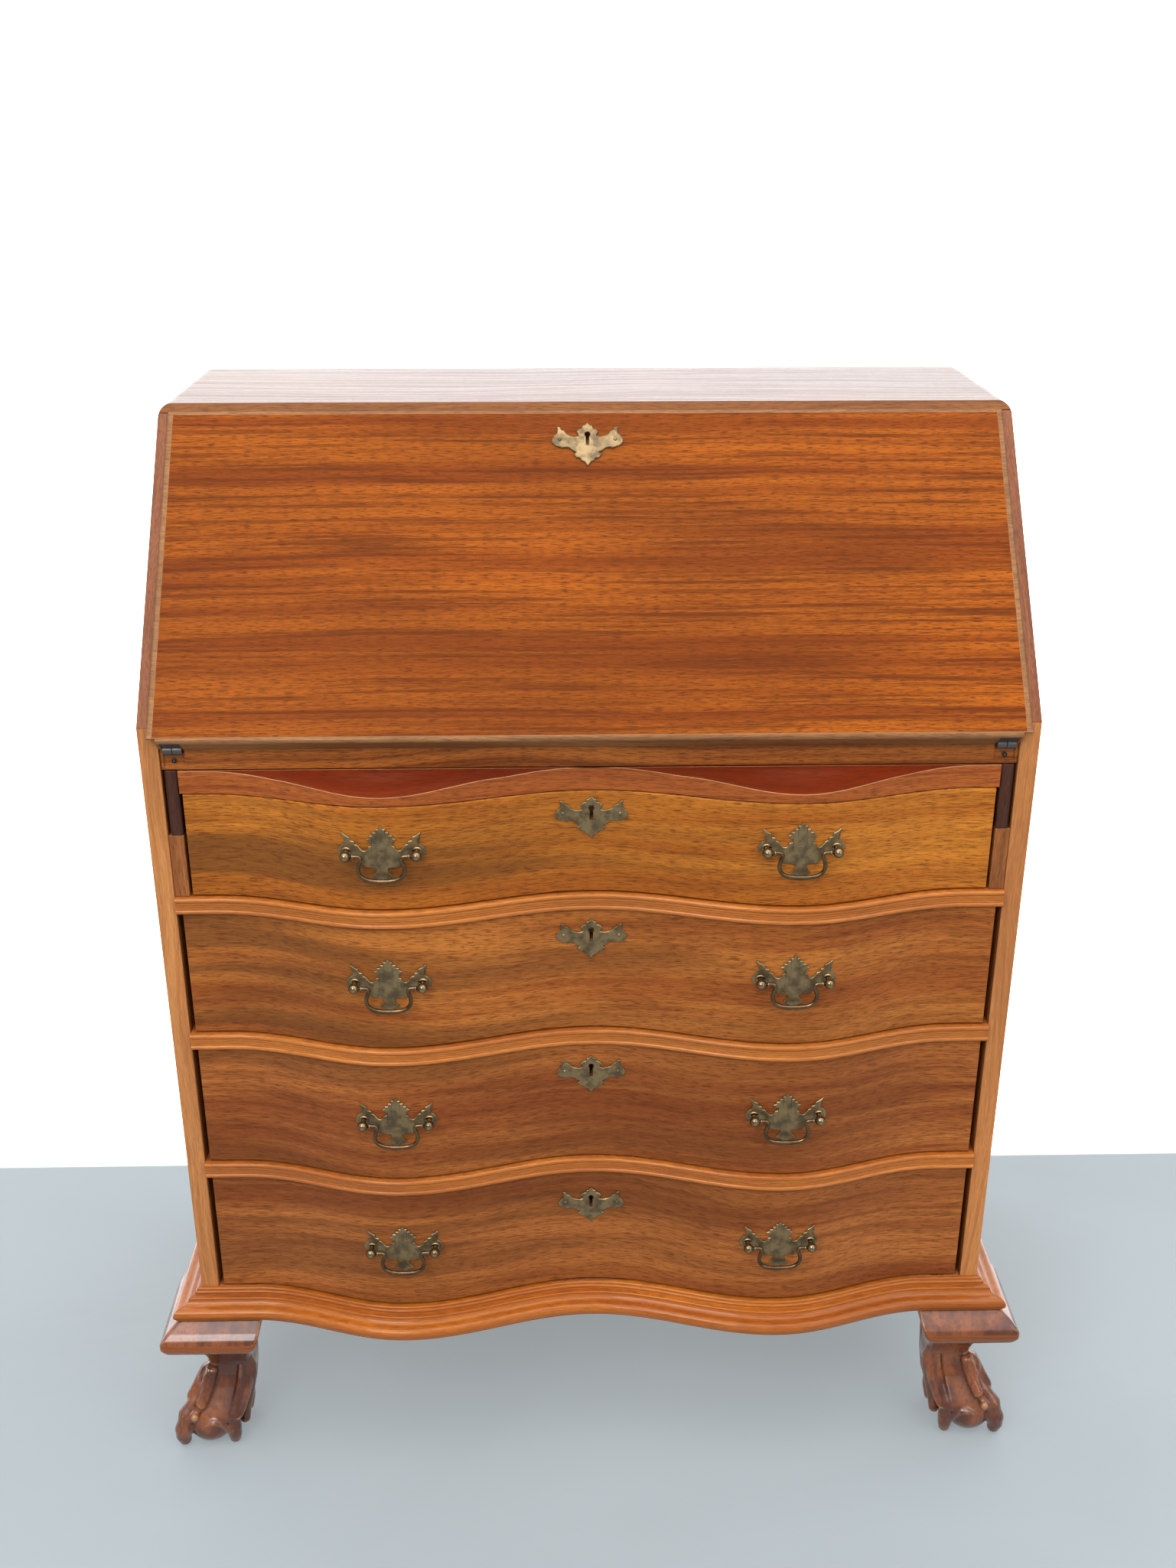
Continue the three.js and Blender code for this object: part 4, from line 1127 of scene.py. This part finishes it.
def makeBaseMouldings():
    bottom = lowOf("base_moulding_front").z
    section = [(front - joint - out * mm, bottom + up * mm) for out, up in baseSection()]
    bm = sweptAlongX(section, -caseHalf, caseHalf, curve["steps"])
    for vert in bm.verts:
        out = front - joint - vert.co.y
        if abs(vert.co.x) > caseHalf - 0.1 * mm:
            vert.co.x += math.copysign(out, vert.co.x)  # mitred ends
        if out > 0.5 * mm:
            vert.co.y += serpentine(vert.co.x) - front
    finishPiece("base_moulding_long", bm, "base", "case", ["base_moulding_front"],
                smoothAngle=32)
    for side, direction in sides.items():
        outline = [(direction * (caseHalf + joint + out * mm), bottom + up * mm) for out, up in baseSection()]
        bm = prism(outline, "Y", front, back)
        for vert in bm.verts:
            if vert.co.y < front + 1 * mm:
                vert.co.y = front - (abs(vert.co.x) - caseHalf - joint)
        finishPiece(f"base_moulding_end_{side}", bm, "baseEnd", "case",
                    [f"base_moulding_{side}"], smoothAngle=32)


makeBaseMouldings()
print("base moulding made")


# Feet. Places are (outward, forward, up) in mm from the case's front corner on the floor.

foot = {
    "voxel": 1.35 * mm,
    "blockFrom": 135 * mm,
    # [height, inward, outward, corner radius] of the shaped block and the leg, alike on both axes
    "levels": [
        (170, 63.5, 21, 2.5), (165, 63, 27.5, 2.5), (160, 62.3, 34, 2.5), (155, 61, 38.5, 3),
        (150, 59.5, 40.5, 4), (144, 57.5, 40.5, 5), (139, 54.5, 38.5, 7), (134, 51, 33, 9),
        (129, 48, 25, 9), (123, 46, 17, 8), (115, 44.5, 10, 6), (106, 43, 5, 5), (96, 42, 1.5, 4),
        (88, 42, 0, 4), (78, 43, 2, 4), (66, 42.5, 8, 4), (55, 40, 15.5, 5), (46, 37, 22, 6),
        (39, 34, 26.5, 7), (34, 31, 26, 9), (28, 27, 20, 10), (20, 20, 14, 10),
    ],
    "ball": (4, 5, 24.5, 25.5),
    # limbs are chains of (outward, forward, up, radius); pairs are carved alike on both sides of the corner
    "corner": [
        [(0, 0, 90, 3.4), (8, 6, 73, 4.4), (15, 12, 60, 5.4), (22, 18, 49, 7), (26, 21, 42, 9.2),
         (29, 23, 33, 7.4), (31, 23, 24, 9.2), (32, 22, 15, 8.4), (31, 20.5, 8, 7.4)],
        [(-40, -40, 100, 4), (-37, -37, 66, 6), (-32, -32, 46, 9), (-30, -30, 34, 7.4), (-29, -29, 22, 8.6),
         (-28, -28, 8, 7)],
    ],
    "pairs": [
        [(-32, 0, 90, 3), (-31, 4, 74, 4), (-28.5, 10, 60, 5), (-26, 15, 49, 6.4), (-24.5, 17.5, 42, 8.2),
         (-23.5, 19, 33, 6.8), (-23, 20.5, 24, 8.4), (-23, 20, 15, 7.8), (-22.5, 18.5, 8, 6.8)],
        [(14, 25, 18, 3), (10, 26, 27, 3.4), (4, 27, 33, 3.8), (-3, 27, 35.5, 4), (-10, 26, 33, 3.8),
         (-15, 24, 27, 3.4), (-18, 22, 18, 3)],
        [(-1, 2, 89, 2.5), (4, 3, 91, 3), (9, 4, 86, 3), (11.5, 6, 78, 3), (10.5, 9, 69, 2.8),
         (6.5, 10, 63, 2.6), (2.5, 8, 69, 2.3), (-0.5, 4, 79, 2.3), (-1, 2, 89, 2.5)],
        [(5, -2, 86, 6), (10, 0, 76, 6.4), (15, 4, 66, 6.4), (21, 9, 56, 6.4)],
        [(11, 8, 68, 3.6), (15.5, 8, 63, 4.2), (17, 11, 57, 3.2), (21, 11, 52, 4.4), (23, 15, 47, 3.2),
         (28, 16, 44, 4.6)],
        [(-40, -4, 96, 4.4), (-42.5, -6, 84, 5), (-42, -6, 72, 5.2), (-39, -5, 58, 5.4), (-36, -3, 46, 6),
         (-33, 0, 32, 6), (-31, 2, 18, 6)],
    ],
}


def addRing(bm, height, inward, outward, radius):
    # rounded square
    near, far = outward - radius, radius - inward
    points = arc(near, near, radius, 0, 90, 4) + arc(far, near, radius, 90, 180, 4)
    points += arc(far, far, radius, 180, 270, 4) + arc(near, far, radius, 270, 360, 4)
    verts = [bm.verts.new((x * mm, y * mm, height * mm)) for x, y in points]
    return [bm.edges.new((verts[i - 1], verts[i])) for i in range(len(verts))]


def addChain(bm, stops):
    # balls close enough together to read as one tapering limb
    for first, second in zip(stops, stops[1:]):
        length = math.dist(first[:3], second[:3])
        count = max(1, round(length / (0.35 * min(first[3], second[3]))))
        for i in range(count + 1):
            share = i / count
            x, y, z, radius = [a + (b - a) * share for a, b in zip(first, second)]
            place = Matrix.Translation((x * mm, y * mm, z * mm))
            bmesh.ops.create_icosphere(bm, subdivisions=2, radius=radius * mm, matrix=place)


def carvedFoot():
    bm = bmesh.new()
    rings = [addRing(bm, *level) for level in foot["levels"]]
    for upper, lower in zip(rings, rings[1:]):
        bmesh.ops.bridge_loops(bm, edges=upper + lower)
    bmesh.ops.edgenet_fill(bm, edges=rings[0])
    bmesh.ops.edgenet_fill(bm, edges=rings[-1])
    bmesh.ops.recalc_face_normals(bm, faces=bm.faces)
    x, y, z, radius = foot["ball"]
    place = Matrix.Translation((x * mm, y * mm, z * mm))
    bmesh.ops.create_icosphere(bm, subdivisions=4, radius=radius * mm, matrix=place)
    swapped = [[(forward, out, up, radius) for out, forward, up, radius in stops] for stops in foot["pairs"]]
    for stops in foot["corner"] + foot["pairs"] + swapped:
        addChain(bm, stops)
    rough = objectOf(bm, "foot_blank")
    remesh = rough.modifiers.new("join", "REMESH")
    remesh.mode, remesh.voxel_size = "VOXEL", foot["voxel"]
    smooth = rough.modifiers.new("ease", "SMOOTH")
    smooth.factor, smooth.iterations = 0.5, 2
    result = bmesh.new()
    result.from_object(rough, bpy.context.evaluated_depsgraph_get())
    bpy.data.objects.remove(rough)
    return result


def keepAbove(bm, place, normal):
    # cuts away what lies behind a plane and closes the cut
    everything = bm.verts[:] + bm.edges[:] + bm.faces[:]
    made = bmesh.ops.bisect_plane(
        bm, geom=everything, plane_co=place, plane_no=normal, clear_inner=True, dist=1e-6
    )["geom_cut"]
    rim = [item for item in made if isinstance(item, bmesh.types.BMEdge)]
    bmesh.ops.edgenet_fill(bm, edges=rim)


def makeFeet():
    blank = carvedFoot()
    keepAbove(blank, (0, 0, 0.4 * mm), (0, 0, 1))
    top = highOf("foot_front_right").z
    keepAbove(blank, (0, 0, top), (0, 0, -1))
    template = bpy.data.meshes.new("foot_template")
    blank.to_mesh(template)
    blank.free()
    for end in ("front", "back"):
        for side, direction in sides.items():
            node = f"foot_{end}_{side}"
            bm = bmesh.new()
            bm.from_mesh(template)
            if end == "back":
                keepAbove(bm, (0, -1 * mm, 0), (0, -1, 0))
            facing = -1 if end == "front" else 1
            bmesh.ops.scale(bm, vec=(direction, facing, 1), verts=bm.verts)
            corner = (direction * caseHalf, front if end == "front" else back, 0)
            bmesh.ops.translate(bm, vec=corner, verts=bm.verts)
            bm.normal_update()
            for face in bm.faces:
                if face.calc_center_median().z > foot["blockFrom"] and abs(face.normal.z) < 0.35:
                    face.material_index = 1
            finishPiece(f"carved_foot_{end}_{side}", bm, "foot", "case", [node],
                        smoothAngle=60, extra=["footBlock"])


makeFeet()
print("feet made")


# Hinges, with a screw in the fixed leaf

hinge = {
    "knuckle": 4.5 * mm,
    "leaf": 1.4 * mm,
    "height": 16 * mm,
    "recess": 2.2 * mm,
    "setback": 0.55 * mm,  # from the pin's centre back to the arm of the fixed leaf
    "halfGap": 0.15 * mm,  # half of what is left between the two knuckles
}


def addKnuckle(bm, x0, x1, centre):
    radius, chamfer = hinge["knuckle"], 0.4 * mm
    profile = [(0, x0), (radius - chamfer, x0), (radius, x0 + chamfer), (radius, x1 - chamfer),
               (radius - chamfer, x1), (0, x1)]
    spunAround(bm, profile, Vector((0, centre.y, centre.z)), Vector((1, 0, 0)), 24)


def makeHinges():
    low, high = lowOf("hinge_right").x, highOf("hinge_right").x
    middle = (low + high) / 2
    for side, direction in sides.items():
        inner = sorted((direction * low, direction * (middle - hinge["halfGap"])))
        outer = sorted((direction * (middle + hinge["halfGap"]), direction * high))
        ends = sorted((direction * low, direction * high))
        bm = bmesh.new()
        addKnuckle(bm, *outer, hingeLine)
        y = hingeLine.y + hinge["setback"]
        sunk = y + hinge["recess"]
        addBoard(bm, (ends[0], sunk, hingeLine.z - hinge["height"]),
                 (ends[1], sunk + hinge["leaf"], hingeLine.z - hinge["knuckle"] - joint), 0.3 * mm)
        addBoard(bm, (outer[0] + 1 * mm, y, hingeLine.z - hinge["knuckle"] - 1 * mm),
                 (outer[1] - 1 * mm, y + hinge["leaf"], hingeLine.z), 0.2 * mm)
        centre = Vector((sum(ends) / 2, y, hingeLine.z - 11 * mm))
        dome(bm, centre, 2.3 * mm, Vector((0, -1, 0)), 0.25)
        finishPiece(f"hinge_leaf_{side}", bm, "steel", "case", [f"hinge_{side}"])
        bm = bmesh.new()
        addKnuckle(bm, *inner, Vector((0, 0, 0)))
        addBoard(bm, (ends[0], 0.2 * mm, hinge["knuckle"] + joint),
                 (ends[1], 0.2 * mm + hinge["leaf"], hinge["height"]), 0.3 * mm)
        addBoard(bm, (inner[0] + 0.5 * mm, 0.2 * mm, 2 * mm),
                 (inner[1] - 0.5 * mm, 0.2 * mm + hinge["leaf"], hinge["knuckle"] + 1 * mm), 0.2 * mm)
        bmesh.ops.transform(bm, matrix=lidPlace(), verts=bm.verts)
        finishPiece(f"lid_hinge_leaf_{side}", bm, "steel", "lid", [f"lid_hinge_{side}"])


makeHinges()


# Gallery inside the desk: small drawers below pigeonholes with shaped valances

gallery = {"wall": 7 * mm, "holes": 6, "valance": 20 * mm, "thick": 6 * mm, "knob": 6.5 * mm}


def makeGallery():
    low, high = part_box("gallery")
    wall = gallery["wall"]
    cells = [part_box(f"small_drawer_{i}") for i in range(1, 4)]
    shelf = cells[0][1].z + 0.7 * mm
    bm = bmesh.new()
    addBoard(bm, low, (low.x + wall, high.y, high.z))
    addBoard(bm, (high.x - wall, low.y, low.z), high)
    addBoard(bm, (low.x + wall, low.y, low.z), (high.x - wall, high.y, low.z + wall))
    addBoard(bm, (low.x + wall, low.y, high.z - wall), (high.x - wall, high.y, high.z))
    addBoard(bm, (low.x + wall, low.y, shelf), (high.x - wall, high.y - wall, shelf + wall))
    addBoard(bm, (low.x + wall, high.y - wall, low.z + wall), (high.x - wall, high.y, high.z - wall))
    for first, second in zip(cells, cells[1:]):
        x0, x1 = first[1].x + 0.7 * mm, second[0].x - 0.7 * mm
        addBoard(bm, (x0, low.y, low.z + wall), (x1, high.y - wall, shelf))
    width = (high.x - low.x - wall) / gallery["holes"]
    for i in range(1, gallery["holes"]):
        x = low.x + i * width
        addBoard(bm, (x, low.y, shelf + wall), (x + wall, high.y - wall, high.z - wall))
    finishPiece("gallery_boards", bm, "inside", "case", ["gallery"])
    bm = bmesh.new()
    for i in range(gallery["holes"]):
        x0, x1 = low.x + wall + i * width, low.x + (i + 1) * width
        addValance(bm, x0 + joint, x1 - joint, high.z - wall - joint, low.y + 2 * mm)
    finishPiece("gallery_valances", bm, "inside", "case", smoothAngle=40)


def addValance(bm, x0, x1, top, y):
    # an ogee arch between two partitions
    drop, middle, half = gallery["valance"], (x0 + x1) / 2, (x1 - x0) / 2
    points = [(x0, top), (x0, top - drop)]
    for i in range(1, 24):
        across = -1 + i / 12
        wave = 0.5 + 0.5 * math.cos(2 * math.pi * across) * (1 - 0.35 * across ** 2)
        points.append((middle + across * half, top - drop * (0.35 + 0.6 * wave * abs(across) ** 0.5)))
    points += [(x1, top - drop), (x1, top)]
    addPrism(bm, points, "Y", y, y + gallery["thick"])


def makeSmallDrawers():
    for i in range(1, 4):
        name = f"small_drawer_{i}"
        low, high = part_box(name)
        wall = 6 * mm
        bm = bmesh.new()
        addBoard(bm, (low.x, low.y, low.z), (high.x, low.y + 2 * wall, high.z), 1 * mm, 3)
        addBoard(bm, (low.x, low.y + 2 * wall, low.z), (low.x + wall, high.y, high.z))
        addBoard(bm, (high.x - wall, low.y + 2 * wall, low.z), high)
        addBoard(bm, (low.x + wall, high.y - wall, low.z), (high.x - wall, high.y, high.z))
        addBoard(bm, (low.x + wall, low.y + 2 * wall, low.z), (high.x - wall, high.y - wall, low.z + wall))
        bead, inset = 1.2 * mm, 4 * mm
        for z in (low.z + inset, high.z - inset - bead):
            addBoard(bm, (low.x + inset, low.y - 0.8 * mm, z), (high.x - inset, low.y + bead, z + bead),
                     0.5 * mm, 3)
        for x in (low.x + inset, high.x - inset - bead):
            addBoard(bm, (x, low.y - 0.8 * mm, low.z + inset), (x + bead, low.y + bead, high.z - inset),
                     0.5 * mm, 3)
        finishPiece(name + "_wood", bm, "inside", name, [name])
        bm = bmesh.new()
        size = gallery["knob"]
        profile = [(0, -2 * mm), (0.62 * size, -2 * mm), (0.62 * size, 1 * mm), (0.34 * size, 2 * mm),
                   (0.30 * size, 5 * mm), (0.7 * size, 7 * mm), (0.98 * size, 9.4 * mm), (size, 11 * mm),
                   (0.88 * size, 12.8 * mm), (0.5 * size, 14 * mm), (0, 14.4 * mm)]
        place = Vector(((low.x + high.x) / 2, low.y, (low.z + high.z) / 2))
        spunAround(bm, profile, place, Vector((0, -1, 0)), 28)
        finishPiece(name + "_knob", bm, "rubbedBrass", name, smoothAngle=50)


makeGallery()
makeSmallDrawers()
print("gallery made")


# Fittings out of sight: lid lock, glue blocks and screws

def makeLidLock():
    bm = bmesh.new()
    top = lidLength
    addBoard(bm, (-32 * mm, top - 42 * mm, -0.15 * mm), (32 * mm, top - 0.5 * mm, 9 * mm), 0.4 * mm)
    addBoard(bm, (-36 * mm, top - 1 * mm, 1 * mm), (36 * mm, top + 0.12 * mm, 12 * mm), 0.1 * mm)
    addBoard(bm, (-8 * mm, top - 1 * mm, 4 * mm), (8 * mm, top + 0.4 * mm, 9 * mm), 0.2 * mm)
    for x in (-26 * mm, 26 * mm):
        for y in (top - 36 * mm, top - 7 * mm):
            dome(bm, Vector((x, y, -0.1 * mm)), 2 * mm, Vector((0, 0, -1)), 0.3)
    bmesh.ops.transform(bm, matrix=lidPlace(), verts=bm.verts)
    finishPiece("lid_lock", bm, "rubbedBrass", "lid")


def makeGlueBlocks():
    bm = bmesh.new()
    under = lowOf("bottom_board").z
    bottom = lowOf("side_panel_right").z
    for direction in sides.values():
        for y in (front + 120 * mm, front + 200 * mm, front + 280 * mm):
            x = direction * (innerHalf - joint)
            wedge = [(x, under - joint), (x, bottom + 0.5 * mm), (x - direction * 3 * mm, bottom + 0.5 * mm),
                     (x - direction * 16 * mm, under - 1.5 * mm), (x - direction * 16 * mm, under - joint)]
            addPrism(bm, wedge, "Y", y, y + 55 * mm)
    finishPiece("glue_blocks", bm, "bare", "case")


def makeBackScrews():
    low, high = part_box("back_panel")
    bm = bmesh.new()
    for x in (low.x + 12 * mm, 0, high.x - 12 * mm):
        for i in range(5):
            z = low.z + 14 * mm + (high.z - low.z - 28 * mm) * i / 4
            dome(bm, Vector((x, high.y, z)), 3.2 * mm, Vector((0, 1, 0)), 0.12)
    finishPiece("back_screws", bm, "steel", "case")


makeLidLock()
makeGlueBlocks()
makeBackScrews()
print("fittings made")


# Floor, light and camera

studio = {
    "floorColour": (0.155, 0.176, 0.188, 1),
    "floorGlow": (0.225, 0.252, 0.262, 1),  # light the floor gives off, which weakens the shadows
    "floorHalf": 12.0,
    "floorEnd": 0.297,  # y past which the flat floor is painted a glowing white, as a backdrop
    "wall": 1.0,
    "wallPlace": 5.0,
    "sky": (0.40, 1.9),  # brightness at the horizon and overhead
    "aim": (0, 0, 0.55),
    # [place, width, depth, power]
    "lights": {
        "window": ((-1.0, -2.4, 2.6), 1.3, 1.3, 40.0),
        "ceiling": ((0.1, -0.9, 3.3), 3.0, 1.4, 25.0),
        "room": ((2.0, -2.2, 1.7), 1.4, 1.8, 14.0),
    },
}


def makeFloor():
    bm = bmesh.new()
    bmesh.ops.create_grid(bm, x_segments=2, y_segments=2, size=studio["floorHalf"])
    floor = objectOf(bm, "floor")
    material, tree, shader = newMaterial("pale_floor")
    place = addNode(tree, "ShaderNodeTexCoord").outputs["Object"]
    parts = addNode(tree, "ShaderNodeSeparateXYZ", {"Vector": place})
    folds = stretchedNoise(tree, place, (2.2, 3.4, 1), 3.0, 0.5, 0.6)
    tone = remap(tree, folds, 0.3, 0.7, 0.94, 1.05)
    cloth = addNode(tree, "ShaderNodeHueSaturation", {"Color": studio["floorColour"], "Value": tone})
    end = studio["floorEnd"]
    wall = remap(tree, parts.outputs["Y"], end - 0.004, end + 0.004)
    colour = blendColours(tree, wall, cloth.outputs["Color"], (1, 1, 1, 1))
    tree.links.new(colour, shader.inputs["Base Color"])
    glow = blendColours(tree, wall, studio["floorGlow"], (1, 1, 1, 1))
    tree.links.new(glow, shader.inputs["Emission Color"])
    shader.inputs["Emission Strength"].default_value = studio["wall"]
    shader.inputs["Roughness"].default_value = 0.85
    creases = stretchedNoise(tree, place, (1.3, 2.6, 1), 4.0, 0.5, 1.2)
    bump = addNode(tree, "ShaderNodeBump", {"Strength": 0.5, "Distance": 12 * mm, "Height": creases})
    tree.links.new(bump.outputs["Normal"], shader.inputs["Normal"])
    floor.data.materials.append(material)


def makeWall():
    # a white wall far behind, which the glossy top reflects
    bm = bmesh.new()
    bmesh.ops.create_grid(bm, x_segments=2, y_segments=2, size=studio["floorHalf"])
    bmesh.ops.rotate(bm, matrix=Matrix.Rotation(math.radians(90), 3, "X"), verts=bm.verts)
    bmesh.ops.translate(bm, vec=(0, studio["wallPlace"], 0), verts=bm.verts)
    wall = objectOf(bm, "wall")
    material, _, shader = newMaterial("white_wall")
    shader.inputs["Emission Color"].default_value = (1, 1, 1, 1)
    shader.inputs["Emission Strength"].default_value = studio["wall"]
    wall.data.materials.append(material)


def addLight(name, place, width, depth, power):
    lamp = bpy.data.lights.new(name, "AREA")
    lamp.shape, lamp.size, lamp.size_y, lamp.energy = "RECTANGLE", width, depth, power
    light = bpy.data.objects.new(name, lamp)
    bpy.context.scene.collection.objects.link(light)
    light.location = place
    aim = Vector(studio["aim"]) - Vector(place)
    light.rotation_euler = aim.to_track_quat("-Z", "Y").to_euler()


def makeStudio():
    makeFloor()
    makeWall()
    world = bpy.data.worlds.new("white_room")
    world.use_nodes = True
    tree = world.node_tree
    sky = tree.nodes["Background"]
    sky.inputs["Color"].default_value = (1, 1, 1, 1)
    direction = addNode(tree, "ShaderNodeTexCoord").outputs["Generated"]
    height = addNode(tree, "ShaderNodeSeparateXYZ", {"Vector": direction}).outputs["Z"]
    tree.links.new(remap(tree, height, 0.1, 0.9, *studio["sky"]), sky.inputs["Strength"])
    bpy.context.scene.world = world
    for name, light in studio["lights"].items():
        addLight(name, *light)
    bpy.context.scene.view_settings.view_transform = "Standard"


cameraPlace = {"right": -0.0309, "back": -1.3486, "up": 1.3421, "tilt": 66.74, "turn": -1.18, "lens": 37.05}


def makeCamera():
    lens = bpy.data.cameras.new("camera")
    lens.lens, lens.sensor_width = cameraPlace["lens"], 36
    camera = bpy.data.objects.new("camera", lens)
    camera.location = (cameraPlace["right"], front + cameraPlace["back"], cameraPlace["up"])
    camera.rotation_euler = (math.radians(cameraPlace["tilt"]), 0, math.radians(cameraPlace["turn"]))
    bpy.context.scene.collection.objects.link(camera)
    bpy.context.scene.camera = camera


makeStudio()
makeCamera()
print("studio and camera made")
